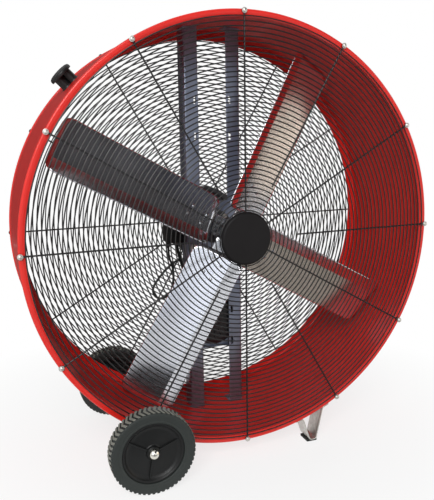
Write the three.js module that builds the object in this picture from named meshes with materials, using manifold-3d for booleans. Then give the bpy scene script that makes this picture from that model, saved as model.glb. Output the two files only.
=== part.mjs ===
// Belt-drive drum fan on two wheels and two feet. Millimetres, +Z up; the fan blows towards -Y.
// The floor is z = 0, and y = 0 lies halfway along the axle, cap nut to cap nut.
import * as THREE from 'three';
import { mergeVertices } from 'three/addons/utils/BufferGeometryUtils.js';
import Module from 'manifold-3d';

const wasm = await Module();
wasm.setup();

// ---------- driving dimensions ----------
const FIT = 0.3;                 // clearance between pieces that seat on each other

// drum: a rolled sheet cylinder, with a round bead and an inward lip at each end
const DRUM_DEPTH = 380;
const SKIN_R = 574.5;
const SKIN_WALL = 2;
const BEAD_R = 4.5;
const BEAD_INSET = 1.5;          // how far the bead's centre lies inside the skin's outer face
const FRONT_LIP_W = 15.5;        // from the skin's outer face in to the lip's edge
const REAR_LIP_W = 25.5;
const LIP_WALL = 2;
const DRUM_FACETS = 60;
const LEAN_DEG = 1;              // the drum sits turned by this much on its wheels and feet

// guards: welded wire rings on twelve spokes, screwed to the beads
const WIRE = 4;
const GUARD_INNER_R = 74.5;
const GUARD_LIP_OVERLAP = 1;
const GUARD_RINGS = 6;
const GUARD_SPOKES = 12;
const SHORT_SPOKE_RING = 1;      // alternate spokes stop at this ring, counted from the middle
const EYE_R = 7;
const PLATE_R = 69;
const PLATE_WALL = 2;
const PLATE_DEPTH = 8;
const SCREW_HEAD_R = 7;
const SCREW_HEAD_H = 5;
const SCREW_SHANK_R = 2.3;
const SCREW_DEPTH = 6;           // how far a shank reaches into the bead
const SCREW_HOLE_SIDES = 6;

// blades: four creased sheets, riveted to the arms of a hub
const BLADE_COUNT = 4;
const BLADE_PHASE_DEG = 60.9;
const BLADE_ROOT = 62;
const BLADE_TIP_GAP = 38.5;      // from a blade's tip to the drum's inner face
const BLADE_CHORD_ROOT = 149;
const BLADE_CHORD_TIP = 158;
const BLADE_PITCH_ROOT_DEG = 26.6;
const BLADE_PITCH_TIP_DEG = 22.9;
const BLADE_SETBACK_ROOT = 91.4;
const BLADE_SETBACK_TIP = 121.8;
const BLADE_OFFSET = -6;         // the chord's middle lies this far past the radial line
const BLADE_WALL = 2.5;
const BLADE_BULGE = 10;
const BLADE_CREASE = 0.75;       // share of the chord at which the sheet is creased
const BLADE_CORNER_R = 26;
const HUB_R = 35;
const HUB_FRONT = 66;
const HUB_L = 62;
const ARM_TIP = 150;
const ARM_WALL = 5;
const ARM_FROM = 0.3;            // shares of the chord between which an arm lies
const ARM_TO = 0.66;

// fan shaft and its bearings
const SHAFT_R = 12.5;
const SHAFT_NOSE = 6;            // how far the shaft stands out of the hub in front
const SHAFT_TAIL = 8;            // and out of the driven pulley behind
const BEARING_R = 26;
const BEARING_W = 15;
const HOUSING_R = 31;
const HOUSING_BORE_R = 22;
const HOUSING_NOSE = 31;         // how far the housing stands out in front of the struts
const HOUSING_GAP = 8;           // from its rear end to the driven pulley
const HOUSING_FLANGE_R = 50;
const HOUSING_FLANGE_W = 6;
const BEARING_PLATE_HALF = 75;
const BEARING_PLATE_WALL = 4;

// struts: two upright angles with the web in front and the flange outside
const STRUT_TO_BELT = 95;        // from the webs' front to the pulleys' front
const STRUT_DEPTH = 50;
const STRUT_INNER_X = 43;
const STRUT_OUTER_X = 86;
const STRUT_WALL = 3;
const SLOT_W = 7;
const SLOT_L = 22;
const SLOT_HEIGHTS = [264, 367];
const SLOT_INSET = 10;

// belt drive, with a ratio of four to one
const DRIVEN_PITCH_R = 104;
const MOTOR_PITCH_R = 26;
const BELT_W = 13;
const BELT_H = 8;
const PULLEY_W = 20;
const PULLEY_REAR_GAP = 28;      // from the pulleys' rear faces to the rear rim
const PULLEY_RIM = 6;            // how far a pulley's flanges rise over the belt's middle
const PULLEY_WEB = 6;
const PULLEY_HUB_R = 24;

// motor, between the struts below the shaft
const MOTOR_DROP = 297;
const MOTOR_R = 78;
const MOTOR_WALL = 3;
const MOTOR_FACETS = 24;
const MOTOR_BEHIND_WEB = 3.5;
const MOTOR_TO_PULLEY = 6;
const BELL_W = 12;
const STATOR_INNER_R = 50;
const AIR_GAP = 0.7;
const MOTOR_SHAFT_R = 8;
const MOUNT_WALL = 3;
const MOUNT_SADDLE_H = 6;
const MOUNT_EAR_H = 84;
const MOUNT_MARGIN = 6;

// switch box, on the outer side of the left strut
const BOX_W = 52;
const BOX_SETBACK = 25;          // from the webs' front to the box's front
const BOX_D = 54;
const BOX_HALF_H = 48;
const BOX_WALL = 2;
const SWITCH_SIZE = 26;
const SWITCH_DEPTH = 22;
const KNOB_X = -124;
const KNOB_Z = 36;
const KNOB_SHAFT_R = 3.5;
const KNOB_R = 18;
const KNOB_W = 16;
const KNOB_GAP = 5;

// motor lead and its glands
const LEAD_R = 3.5;
const LEAD_STEPS = 38;
const LEAD_SIDES = 8;
const LEAD_SETBACK = 53;         // from the webs' front to the lead
const GLAND_R = 8;
const GLAND_L = 14;
const BOX_GLAND_X = -129;
const MOTOR_GLAND_X = -43;
const MAINS_GLAND_X = -108;
const MAINS_HOLE_R = 5;
const TIE_WALL = 1.5;
const TIE_W = 5;

// wheels
const AXLE_R = 6.35;
const AXLE_ANGLE_DEG = 240.85;   // counter-clockwise from +X, seen from the front
const SPACER_R = 7.5;
const SPACER_GAP = 0.5;
const WHEEL_R = 110.4;
const WHEEL_W = 43;
const WHEEL_FACETS = 28;
const RIM_R = 80.6;
const FRONT_WHEEL_GAP = 59;
const REAR_WHEEL_GAP = 8;
const WHEEL_HUB_R = 17;
const RIB_ANGLES = [150, 20, 262];
const RIB_W = 4;
const CAP_NUT_R = 11.5;
const CAP_NUT_H = 14;
const AXLE_STUB = 7;
const BRACKET_W = 36;
const BRACKET_INSET = 14;
const BRACKET_SPAN_DEG = 11;
const BRACKET_WALL = 3;
const BRACKET_BOSS_R = 10.5;

// feet: bent straps with a rubber pad
const FOOT_W = 55;
const FOOT_INSET = 2;
const FOOT_WALL = 3;
const FOOT_TAB = 22;
const FOOT_LEFT_X = 189;
const FOOT_RIGHT_X = 252;
const FOOT_SOLE_X = [213, 233];
const PAD_H = 7;
const PAD_MARGIN = 6;

// post for winding up the mains lead, on the drum's outside
const POST_ANGLE_DEG = 135;
const POST_LOBE_R = 13;
const POST_LOBE_SPREAD = 12;
const POST_H = 29;
const POST_CAP_R = 32;
const POST_CAP_H = 10;

// ---------- values that follow ----------
const rad = THREE.MathUtils.degToRad;
const SKIN_INNER_R = SKIN_R - SKIN_WALL;
const FRONT_LIP_R = SKIN_R - FRONT_LIP_W;
const REAR_LIP_R = SKIN_R - REAR_LIP_W;
const BLADE_TIP = SKIN_INNER_R - BLADE_TIP_GAP;
const BEAD_CENTRE_R = SKIN_R - BEAD_INSET;
const BEAD_OUTER_R = BEAD_CENTRE_R + BEAD_R;
const SCREW_HOLE_R = (SCREW_SHANK_R + FIT) / Math.cos(Math.PI / SCREW_HOLE_SIDES);
const GUARD_OUTER_R = FRONT_LIP_R + GUARD_LIP_OVERLAP;
const GUARD_STEP_R = (GUARD_OUTER_R - GUARD_INNER_R) / (GUARD_RINGS - 1);
const AXLE_DISTANCE = BEAD_CENTRE_R + Math.max(EYE_R, SCREW_HEAD_R) + SPACER_GAP + SPACER_R;
const AXLE_X = AXLE_DISTANCE * Math.cos(rad(AXLE_ANGLE_DEG));
const AXLE_Z = AXLE_DISTANCE * Math.sin(rad(AXLE_ANGLE_DEG));
const AXIS_HEIGHT = WHEEL_R - AXLE_Z;
const AXLE_BORE_R = AXLE_R + FIT;
const FRONT_WHEEL_Y = -FRONT_WHEEL_GAP - WHEEL_W / 2;
const REAR_WHEEL_Y = DRUM_DEPTH + REAR_WHEEL_GAP + WHEEL_W / 2;
const HUB_FACE = WHEEL_W / 2 - 4;        // a wheel's outer hub face, from its middle
const FRONT_NUT_Y = FRONT_WHEEL_Y - HUB_FACE - FIT;
const REAR_NUT_Y = REAR_WHEEL_Y + HUB_FACE + FIT;
const FRONT_RIM_Y = -(FRONT_NUT_Y + REAR_NUT_Y) / 2;
const SHAFT_BORE_R = SHAFT_R + FIT;
const HUB_REAR = HUB_FRONT + HUB_L;
const PULLEY_FRONT = DRUM_DEPTH - PULLEY_REAR_GAP - PULLEY_W;
const PULLEY_MID = PULLEY_FRONT + PULLEY_W / 2;
const STRUT_FRONT = PULLEY_FRONT - STRUT_TO_BELT;
const STRUT_WEB_REAR = STRUT_FRONT + STRUT_WALL;
const SHAFT_FRONT = HUB_FRONT - SHAFT_NOSE;
const SHAFT_REAR = PULLEY_FRONT + PULLEY_W + SHAFT_TAIL;
const HOUSING_FRONT = STRUT_FRONT - HOUSING_NOSE;
const HOUSING_REAR = PULLEY_FRONT - HOUSING_GAP;
const MOTOR_FRONT = STRUT_WEB_REAR + MOTOR_BEHIND_WEB;
const MOTOR_REAR = PULLEY_FRONT - MOTOR_TO_PULLEY;
const BOX_FRONT = STRUT_FRONT + BOX_SETBACK;
const BOX_REAR = BOX_FRONT + BOX_D;
const LEAD_Y = STRUT_FRONT + LEAD_SETBACK;
const BOX_RIGHT = -STRUT_OUTER_X - FIT;
const BOX_LEFT = BOX_RIGHT - BOX_W;

// ---------- materials ----------
const finish = (color, roughness, metalness) => () =>
  new THREE.MeshStandardMaterial({ color, roughness, metalness });
const redPaint = finish(0xc8201c, 0.35, 0.1);
const blackPaint = finish(0x161617, 0.45, 0.2);
const greyPaint = finish(0x54565f, 0.5, 0.3);
const sheetAluminium = finish(0xb9bfc8, 0.28, 0.9);
const zinc = finish(0xb8b4a8, 0.4, 0.8);
const chrome = finish(0xdcdcdc, 0.15, 1);
const castIron = finish(0x4b4d50, 0.6, 0.5);
const steel = finish(0x9da0a4, 0.35, 0.9);
const rubber = finish(0x2b2d2b, 0.85, 0);
const blackPlastic = finish(0x1b1b1c, 0.5, 0);
const motorPaint = finish(0x26272b, 0.5, 0.2);
const copper = finish(0x9a5a34, 0.45, 0.7);

// ---------- solids ----------
// Merges shared vertices, drops empty triangles and turns the faces outwards.
function closed(geometry) {
  const bare = geometry.index ? geometry.clone() : mergeVertices(geometry);
  bare.deleteAttribute('normal');
  bare.deleteAttribute('uv');
  const merged = mergeVertices(bare, 1e-4);
  const at = merged.attributes.position;
  const index = merged.index.array;
  const corner = (i) => new THREE.Vector3().fromBufferAttribute(at, i);
  const kept = [];
  let volume = 0;
  for (let i = 0; i < index.length; i += 3) {
    const [a, b, c] = [index[i], index[i + 1], index[i + 2]];
    if (a !== b && b !== c && c !== a) {
      kept.push(a, b, c);
      volume += corner(a).dot(corner(b).cross(corner(c)));
    }
  }
  if (volume < 0) {
    kept.reverse();
  }
  merged.setIndex(kept);
  return merged;
}

function toSolid(geometry) {
  const g = closed(geometry);
  return new wasm.Manifold(new wasm.Mesh({
    numProp: 3,
    vertProperties: new Float32Array(g.attributes.position.array),
    triVerts: new Uint32Array(g.index.array),
  }));
}

function toGeometry(solid) {
  const mesh = solid.getMesh();
  const geometry = new THREE.BufferGeometry();
  geometry.setAttribute('position', new THREE.BufferAttribute(new Float32Array(mesh.vertProperties), 3));
  geometry.setIndex(new THREE.BufferAttribute(new Uint32Array(mesh.triVerts), 1));
  return geometry;
}

const join = (...parts) => toGeometry(parts.map(toSolid).reduce((a, b) => a.add(b)));
const cut = (base, ...tools) => toGeometry(tools.map(toSolid).reduce((a, b) => a.subtract(b), toSolid(base)));
const overlap = (a, b) => toGeometry(toSolid(a).intersect(toSolid(b)));

// A profile of [radius, y] pairs turned about the Y axis: a ring, or a body that ends on the axis.
function turned(profile, facets) {
  const points = profile.map(([r, y]) => new THREE.Vector2(r, y));
  if (points[0].x > 0) {
    points.push(points[0].clone());
  }
  return closed(new THREE.LatheGeometry(points, facets));
}

const rod = (r, y0, y1, facets) => turned([[0, y0], [r, y0], [r, y1], [0, y1]], facets);
const tube = (rOut, rIn, y0, y1, facets) =>
  turned([[rIn, y0], [rOut, y0], [rOut, y1], [rIn, y1]], facets);

// A shape drawn in X and Z, seen from the front, extruded along Y.
function slab(shape, y0, y1, curveSegments = 8) {
  const options = { depth: y1 - y0, bevelEnabled: false, curveSegments };
  return closed(new THREE.ExtrudeGeometry(shape, options).rotateX(Math.PI / 2).translate(0, y1, 0));
}

function block(x, y, z) {
  const box = new THREE.BoxGeometry(x[1] - x[0], y[1] - y[0], z[1] - z[0]);
  return box.translate((x[0] + x[1]) / 2, (y[0] + y[1]) / 2, (z[0] + z[1]) / 2);
}

const polar = (r, angle) => new THREE.Vector2(r * Math.cos(angle), r * Math.sin(angle));
const outline = (points) => new THREE.Shape(points);

// Points on an arc about the origin, both ends included.
function arcPoints(r, from, to, steps) {
  return Array.from({ length: steps + 1 }, (_, i) => polar(r, from + (to - from) * i / steps));
}

const circlePath = (r, sides, x = 0, z = 0) =>
  new THREE.Path(Array.from({ length: sides }, (_, i) => {
    const angle = 2 * Math.PI * i / sides;
    return new THREE.Vector2(x + r * Math.cos(angle), z + r * Math.sin(angle));
  }));

function rectangle(x0, z0, x1, z1) {
  return outline([[x0, z0], [x1, z0], [x1, z1], [x0, z1]].map(([x, z]) => new THREE.Vector2(x, z)));
}

// ---------- assembly ----------
const part = new THREE.Group();
const floorFrame = new THREE.Group();    // origin on the fan axis at the front rim, upright
floorFrame.position.set(0, FRONT_RIM_Y, AXIS_HEIGHT);
const drumFrame = new THREE.Group();     // the same origin, turned with the drum
drumFrame.rotation.y = -rad(LEAN_DEG);
floorFrame.add(drumFrame);
part.add(floorFrame);

function add(parent, name, geometry, material) {
  const mesh = new THREE.Mesh(geometry, material());
  mesh.name = name;
  parent.add(mesh);
  return mesh;
}

// ---------- drum ----------
// One rim's outline from the lip's outer face over the bead to the skin, and back; it is the
// front rim, and the rear rim is this one mirrored.
function rimOutline(lipR) {
  const onBead = (deg) => [BEAD_CENTRE_R + BEAD_R * Math.cos(rad(deg)), BEAD_R - BEAD_R * Math.sin(rad(deg))];
  const meets = (r) => -THREE.MathUtils.radToDeg(Math.acos((r - BEAD_CENTRE_R) / BEAD_R));
  const lipFront = BEAD_R - LIP_WALL / 2;
  const lipMeets = THREE.MathUtils.radToDeg(Math.asin(LIP_WALL / 2 / BEAD_R));
  const over = [180 - lipMeets, 120, 60, 0, meets(SKIN_R)].map(onBead);
  const under = [meets(SKIN_INNER_R), -180 + lipMeets].map(onBead);
  return { over: [[lipR, lipFront], ...over], under: [...under, [lipR, lipFront + LIP_WALL]] };
}

function drumShell() {
  const front = rimOutline(FRONT_LIP_R);
  const rear = rimOutline(REAR_LIP_R);
  const mirrored = (points) => points.map(([r, y]) => [r, DRUM_DEPTH - y]).reverse();
  const profile = [...front.over, ...mirrored(rear.over), ...mirrored(rear.under), ...front.under];
  const holes = screwAngles().map((angle) => {
    const at = polar(BEAD_CENTRE_R, angle);
    return rod(SCREW_HOLE_R, -1, SCREW_DEPTH + FIT, SCREW_HOLE_SIDES).translate(at.x, 0, at.y);
  });
  return cut(turned(profile, DRUM_FACETS), ...holes);
}

// ---------- guards ----------
const screwAngles = () => Array.from({ length: GUARD_SPOKES }, (_, i) => 2 * Math.PI * i / GUARD_SPOKES);
const ringRadius = (i) => GUARD_INNER_R + i * GUARD_STEP_R;
const stepsPerSpoke = (r) => (r < GUARD_OUTER_R * 0.7 ? 2 : 3);

// The gap between two rings and two spokes, with the wires' half widths taken off.
function wireGap(i, from, to, sectors) {
  const low = ringRadius(i) + WIRE / 2;
  const high = ringRadius(i + 1) - WIRE / 2;
  const lowTrim = WIRE / 2 / low;
  const highTrim = WIRE / 2 / high;
  const inner = arcPoints(low, from + lowTrim, to - lowTrim, sectors * stepsPerSpoke(low));
  const outer = arcPoints(high, from + highTrim, to - highTrim, sectors * stepsPerSpoke(high));
  return new THREE.Path([...inner, ...outer.reverse()]);
}

// Rings and spokes in one plane, with an eye over each screw; longSpoke is 0 or 1 and says
// which spokes of each pair reach the inmost ring.
function guard(y0, longSpoke) {
  const step = 2 * Math.PI / GUARD_SPOKES;
  const rim = GUARD_OUTER_R + WIRE / 2;
  const edge = screwAngles().flatMap((angle) => {
    const eyeOut = BEAD_CENTRE_R + EYE_R;
    const eye = [[rim, -1], [eyeOut, -1], [eyeOut, 1], [rim, 1]]
      .map(([r, side]) => polar(r, angle + side * EYE_R / r));
    return [...eye, ...arcPoints(rim, angle + EYE_R / rim, angle + step - EYE_R / rim, 3).slice(1, -1)];
  });
  const shape = outline(edge);
  for (let i = 0; i < GUARD_RINGS - 1; i += 1) {
    const sectors = i < SHORT_SPOKE_RING ? 2 : 1;
    for (let s = 0; s < GUARD_SPOKES; s += sectors) {
      const from = (s + (sectors === 2 ? longSpoke : 0)) * step;
      shape.holes.push(wireGap(i, from, from + sectors * step, sectors));
    }
  }
  shape.holes.push(new THREE.Path(arcPoints(GUARD_INNER_R - WIRE / 2, 0, 2 * Math.PI, 24).slice(1)));
  for (const angle of screwAngles()) {
    const at = polar(BEAD_CENTRE_R, angle);
    shape.holes.push(circlePath(SCREW_HOLE_R, SCREW_HOLE_SIDES, at.x, at.y));
  }
  return slab(shape, y0, y0 + WIRE);
}

// A dished disc that covers the middle of the front guard.
function centrePlate() {
  const back = -2 * FIT - WIRE;
  const face = back - PLATE_DEPTH;
  const round = 3;
  return turned([
    [0, face], [PLATE_R - round, face], [PLATE_R, face + round], [PLATE_R + round, back],
    [PLATE_R + round - PLATE_WALL, back], [PLATE_R - PLATE_WALL, face + round],
    [PLATE_R - round, face + PLATE_WALL], [0, face + PLATE_WALL],
  ], 32);
}

function guardScrew() {
  const seat = -2 * FIT - WIRE;
  return turned([
    [0, seat - SCREW_HEAD_H], [SCREW_HEAD_R * 0.6, seat - SCREW_HEAD_H * 0.8], [SCREW_HEAD_R, seat],
    [SCREW_SHANK_R, seat], [SCREW_SHANK_R, SCREW_DEPTH], [0, SCREW_DEPTH],
  ], 8);
}

// ---------- blades and hub ----------
// A point of the blade's middle sheet: s runs along the radius and u across the chord, from
// the leading edge at the back to the trailing edge in front; rise is measured to the rear.
function bladePoint(s, u, rise) {
  const along = (s - BLADE_ROOT) / (BLADE_TIP - BLADE_ROOT);
  const chord = THREE.MathUtils.lerp(BLADE_CHORD_ROOT, BLADE_CHORD_TIP, along);
  const pitch = rad(THREE.MathUtils.lerp(BLADE_PITCH_ROOT_DEG, BLADE_PITCH_TIP_DEG, along));
  const setback = THREE.MathUtils.lerp(BLADE_SETBACK_ROOT, BLADE_SETBACK_TIP, along);
  const bow = u < BLADE_CREASE
    ? Math.sin(Math.PI / 2 * u / BLADE_CREASE)
    : (1 - u) / (1 - BLADE_CREASE);
  const c = (u - 0.5) * chord;
  const n = rise + BLADE_BULGE * bow;
  return new THREE.Vector3(
    s,
    setback - c * Math.sin(pitch) + n * Math.cos(pitch),
    BLADE_OFFSET + c * Math.cos(pitch) + n * Math.sin(pitch),
  );
}

// A sheet that follows the blade's surface, with round corners.
function bladeSheet(sFrom, sTo, shares, rows, corner, rise, wall) {
  const shrink = (u) => {
    const edge = Math.min(u, 1 - u) * BLADE_CHORD_ROOT;
    return edge < corner ? corner - Math.sqrt(corner ** 2 - (corner - edge) ** 2) : 0;
  };
  const positions = [];
  for (const side of [-0.5, 0.5]) {
    for (const u of shares) {
      for (let i = 0; i <= rows; i += 1) {
        const s = THREE.MathUtils.lerp(sFrom + shrink(u), sTo - shrink(u), i / rows);
        positions.push(...bladePoint(s, u, rise + side * wall).toArray());
      }
    }
  }
  return gridSolid(positions, shares.length, rows + 1);
}

// Two equal grids of points, one behind the other, closed along their edges.
function gridSolid(positions, columns, rows) {
  const at = (side, column, row) => (side * columns + column) * rows + row;
  const index = [];
  const quad = (a, b, c, d) => index.push(a, b, c, a, c, d);
  for (let c = 0; c < columns - 1; c += 1) {
    for (let r = 0; r < rows - 1; r += 1) {
      quad(at(0, c, r), at(0, c, r + 1), at(0, c + 1, r + 1), at(0, c + 1, r));
      quad(at(1, c, r), at(1, c + 1, r), at(1, c + 1, r + 1), at(1, c, r + 1));
    }
    quad(at(0, c, 0), at(0, c + 1, 0), at(1, c + 1, 0), at(1, c, 0));
    quad(at(0, c, rows - 1), at(1, c, rows - 1), at(1, c + 1, rows - 1), at(0, c + 1, rows - 1));
  }
  for (let r = 0; r < rows - 1; r += 1) {
    quad(at(0, 0, r), at(1, 0, r), at(1, 0, r + 1), at(0, 0, r + 1));
    quad(at(0, columns - 1, r), at(0, columns - 1, r + 1), at(1, columns - 1, r + 1), at(1, columns - 1, r));
  }
  const geometry = new THREE.BufferGeometry();
  geometry.setAttribute('position', new THREE.Float32BufferAttribute(positions, 3));
  geometry.setIndex(index);
  return closed(geometry);
}

const bladeAngles = () =>
  Array.from({ length: BLADE_COUNT }, (_, i) => rad(BLADE_PHASE_DEG) + 2 * Math.PI * i / BLADE_COUNT);

const blade = () => bladeSheet(
  BLADE_ROOT, BLADE_TIP, [0, 0.05, 0.15, 0.35, 0.55, BLADE_CREASE, 0.87, 0.95, 1], 5, BLADE_CORNER_R, 0, BLADE_WALL,
);

// The hub, with an arm behind each blade.
function fanHub() {
  const rise = BLADE_WALL / 2 + FIT + ARM_WALL / 2;
  const shares = [0, 0.33, 0.67, 1].map((k) => THREE.MathUtils.lerp(ARM_FROM, ARM_TO, k));
  const arms = bladeAngles().map((angle) =>
    bladeSheet(HUB_R * 0.8, ARM_TIP, shares, 2, 0, rise, ARM_WALL).rotateY(-angle));
  const body = rod(HUB_R, HUB_FRONT, HUB_REAR, 32);
  return cut(join(body, ...arms), rod(SHAFT_BORE_R, HUB_FRONT - 1, HUB_REAR + 1, 20));
}

// ---------- struts, shaft and bearings ----------
// side is 1 for the right strut and -1 for the left one.
function strut(side) {
  const rear = STRUT_FRONT + STRUT_DEPTH;
  const inside = SKIN_INNER_R - FIT;
  const span = (a, b) => [side * a, side * b].sort((p, q) => p - q);
  const web = block(span(STRUT_INNER_X, STRUT_OUTER_X), [STRUT_FRONT, STRUT_WEB_REAR], [-inside, inside]);
  const flange = block(span(STRUT_OUTER_X - STRUT_WALL, STRUT_OUTER_X), [STRUT_FRONT, rear], [-inside, inside]);
  const angle = overlap(join(web, flange), rod(inside, STRUT_FRONT - 1, rear + 1, DRUM_FACETS));
  const ring = tube(inside, inside - STRUT_WALL, STRUT_FRONT, rear, DRUM_FACETS);
  const tabs = overlap(ring, block(span(STRUT_INNER_X, STRUT_OUTER_X), [STRUT_FRONT, rear], [-inside, inside]));
  const slotX = side * (STRUT_INNER_X + SLOT_INSET);
  const slots = SLOT_HEIGHTS.flatMap((z) => [z, -z]).map((z) => block(
    [slotX - SLOT_W / 2, slotX + SLOT_W / 2], [STRUT_FRONT - 1, STRUT_WEB_REAR + 1], [z - SLOT_L / 2, z + SLOT_L / 2],
  ));
  return cut(join(angle, tabs), ...slots);
}

function bearingPlate() {
  const half = STRUT_OUTER_X;
  const shape = rectangle(-half, -BEARING_PLATE_HALF, half, BEARING_PLATE_HALF);
  shape.holes.push(circlePath(HOUSING_R + FIT, 24));
  return slab(shape, STRUT_FRONT - FIT - BEARING_PLATE_WALL, STRUT_FRONT - FIT);
}

function bearingHousing() {
  const seatR = BEARING_R + FIT;
  const seat = BEARING_W + 2 * FIT;
  const flangeRear = STRUT_FRONT - 2 * FIT - BEARING_PLATE_WALL;
  const flangeFront = flangeRear - HOUSING_FLANGE_W;
  return turned([
    [seatR, HOUSING_FRONT], [HOUSING_R, HOUSING_FRONT], [HOUSING_R, flangeFront],
    [HOUSING_FLANGE_R, flangeFront], [HOUSING_FLANGE_R, flangeRear], [HOUSING_R, flangeRear],
    [HOUSING_R, HOUSING_REAR], [seatR, HOUSING_REAR], [seatR, HOUSING_REAR - seat],
    [HOUSING_BORE_R, HOUSING_REAR - seat], [HOUSING_BORE_R, HOUSING_FRONT + seat],
    [seatR, HOUSING_FRONT + seat],
  ], 24);
}

const bearing = (y0) => tube(BEARING_R, SHAFT_BORE_R, y0, y0 + BEARING_W, 24);

// ---------- belt drive ----------
function pulley(pitchR, boreR, hubR, facets) {
  const outer = pitchR + PULLEY_RIM;
  const groove = pitchR - BELT_H / 2 - FIT;
  const half = BELT_W / 2 + FIT;
  const rimR = groove - 5;
  const web = Math.min(PULLEY_WEB, PULLEY_W) / 2;
  const edge = PULLEY_W / 2;
  const open = rimR > hubR + 5;
  const rear = open ? [[rimR, edge], [rimR, web], [hubR, web], [hubR, edge]] : [];
  const front = open ? [[hubR, -edge], [hubR, -web], [rimR, -web], [rimR, -edge]] : [];
  return turned([
    [boreR, -edge], ...front, [outer, -edge], [outer, -half], [groove, -half],
    [groove, half], [outer, half], [outer, edge], ...rear, [boreR, edge],
  ], facets).translate(0, PULLEY_MID, 0);
}

// One closed loop round both pulleys at this distance from the belt's middle line; its straight
// steps touch the true circles from outside.
function beltLoop(offset) {
  const lean = Math.asin((DRIVEN_PITCH_R - MOTOR_PITCH_R) / MOTOR_DROP);
  const wrap = (pitchR, from, to, steps) =>
    arcPoints((pitchR + offset) / Math.cos((to - from) / steps / 2), from, to, steps);
  const top = wrap(DRIVEN_PITCH_R, -lean, Math.PI + lean, 20);
  const low = wrap(MOTOR_PITCH_R, Math.PI + lean, 2 * Math.PI - lean, 8);
  return [...top, ...low.map((p) => new THREE.Vector2(p.x, p.y - MOTOR_DROP))];
}

function driveBelt() {
  const shape = outline(beltLoop(BELT_H / 2));
  shape.holes.push(new THREE.Path(beltLoop(-BELT_H / 2)));
  return slab(shape, PULLEY_MID - BELT_W / 2, PULLEY_MID + BELT_W / 2);
}

// ---------- motor ----------
const SHELL_FRONT = MOTOR_FRONT + BELL_W + FIT;
const SHELL_REAR = MOTOR_REAR - BELL_W - FIT;

// An end bell; it seats on the shell's end and holds the rotor's shaft in a bush.
function endBell(faceY, seatY) {
  const out = Math.sign(faceY - seatY);
  const bushR = MOTOR_SHAFT_R + MOTOR_WALL + 4;
  const bore = MOTOR_SHAFT_R + FIT;
  return turned([
    [bore, faceY + out * 0], [bushR, faceY], [bushR + 4, faceY - out * 3], [MOTOR_R * 0.82, faceY - out * 4],
    [MOTOR_R, seatY + out * 4], [MOTOR_R, seatY], [MOTOR_R - MOTOR_WALL, seatY],
    [MOTOR_R * 0.8, faceY - out * (4 + MOTOR_WALL)], [bushR, faceY - out * (3 + MOTOR_WALL)],
    [bushR, seatY], [bore, seatY],
  ], MOTOR_FACETS);
}

const motorShell = () => tube(MOTOR_R, MOTOR_R - MOTOR_WALL, SHELL_FRONT, SHELL_REAR, MOTOR_FACETS);

function motorStator() {
  const outer = MOTOR_R - MOTOR_WALL - FIT;
  return tube(outer, STATOR_INNER_R, SHELL_FRONT + 6, SHELL_REAR - 6, MOTOR_FACETS);
}

// The rotor's core and the shaft that carries the small pulley.
function motorRotor() {
  const coreR = STATOR_INNER_R - AIR_GAP;
  const coreFront = SHELL_FRONT + 6;
  const coreRear = SHELL_REAR - 6;
  return turned([
    [0, MOTOR_FRONT + 2], [MOTOR_SHAFT_R, MOTOR_FRONT + 2], [MOTOR_SHAFT_R, coreFront], [coreR, coreFront],
    [coreR, coreRear], [MOTOR_SHAFT_R, coreRear], [MOTOR_SHAFT_R, PULLEY_FRONT + PULLEY_W + 3],
    [0, PULLEY_FRONT + PULLEY_W + 3],
  ], 24);
}

// A bracket between the struts' flanges, with two saddles under the motor's shell.
function motorMount() {
  const side = STRUT_OUTER_X - STRUT_WALL - FIT;
  const top = -MOTOR_DROP - MOTOR_R - MOUNT_SADDLE_H;
  const low = top - MOUNT_WALL;
  const y0 = SHELL_FRONT - MOUNT_MARGIN;
  const y1 = SHELL_REAR + MOUNT_MARGIN;
  const channel = slab(outline([
    [-side, low], [side, low], [side, low + MOUNT_EAR_H], [side - MOUNT_WALL, low + MOUNT_EAR_H],
    [side - MOUNT_WALL, top], [MOUNT_WALL - side, top], [MOUNT_WALL - side, low + MOUNT_EAR_H],
    [-side, low + MOUNT_EAR_H],
  ].map(([x, z]) => new THREE.Vector2(x, z))), y0, y1);
  const saddleHalf = MOTOR_R * 0.6;
  const saddleTop = -MOTOR_DROP - MOTOR_R * 0.7;
  const clearance = rod(MOTOR_R + FIT, y0 - 1, y1 + 1, MOTOR_FACETS).translate(0, 0, -MOTOR_DROP);
  const saddle = (y) => block([-saddleHalf, saddleHalf], [y, y + MOUNT_WALL * 2], [top - 1, saddleTop]);
  const saddles = join(saddle(SHELL_FRONT + 3), saddle(SHELL_REAR - 3 - MOUNT_WALL * 2));
  return join(channel, cut(saddles, clearance));
}

// ---------- switch box ----------
function switchBox() {
  const outer = block([BOX_LEFT, BOX_RIGHT], [BOX_FRONT, BOX_REAR], [-BOX_HALF_H, BOX_HALF_H]);
  const hollow = block(
    [BOX_LEFT + BOX_WALL, BOX_RIGHT - BOX_WALL], [BOX_FRONT + BOX_WALL, BOX_REAR + 1],
    [BOX_WALL - BOX_HALF_H, BOX_HALF_H - BOX_WALL],
  );
  const leadHole = uprightRod(LEAD_R + FIT, -BOX_HALF_H - 1, BOX_WALL + 1 - BOX_HALF_H, BOX_GLAND_X);
  const mainsHole = uprightRod(MAINS_HOLE_R, BOX_HALF_H - BOX_WALL - 1, BOX_HALF_H + 1, MAINS_GLAND_X);
  return cut(outer, hollow, leadHole, mainsHole);
}

// Upright bodies on the lead's plane.
const uprightRod = (r, z0, z1, x) => rod(r, z0, z1, 12).rotateX(Math.PI / 2).translate(x, LEAD_Y, 0);
const uprightTube = (rOut, rIn, z0, z1, x) =>
  tube(rOut, rIn, z0, z1, 12).rotateX(Math.PI / 2).translate(x, LEAD_Y, 0);

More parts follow.
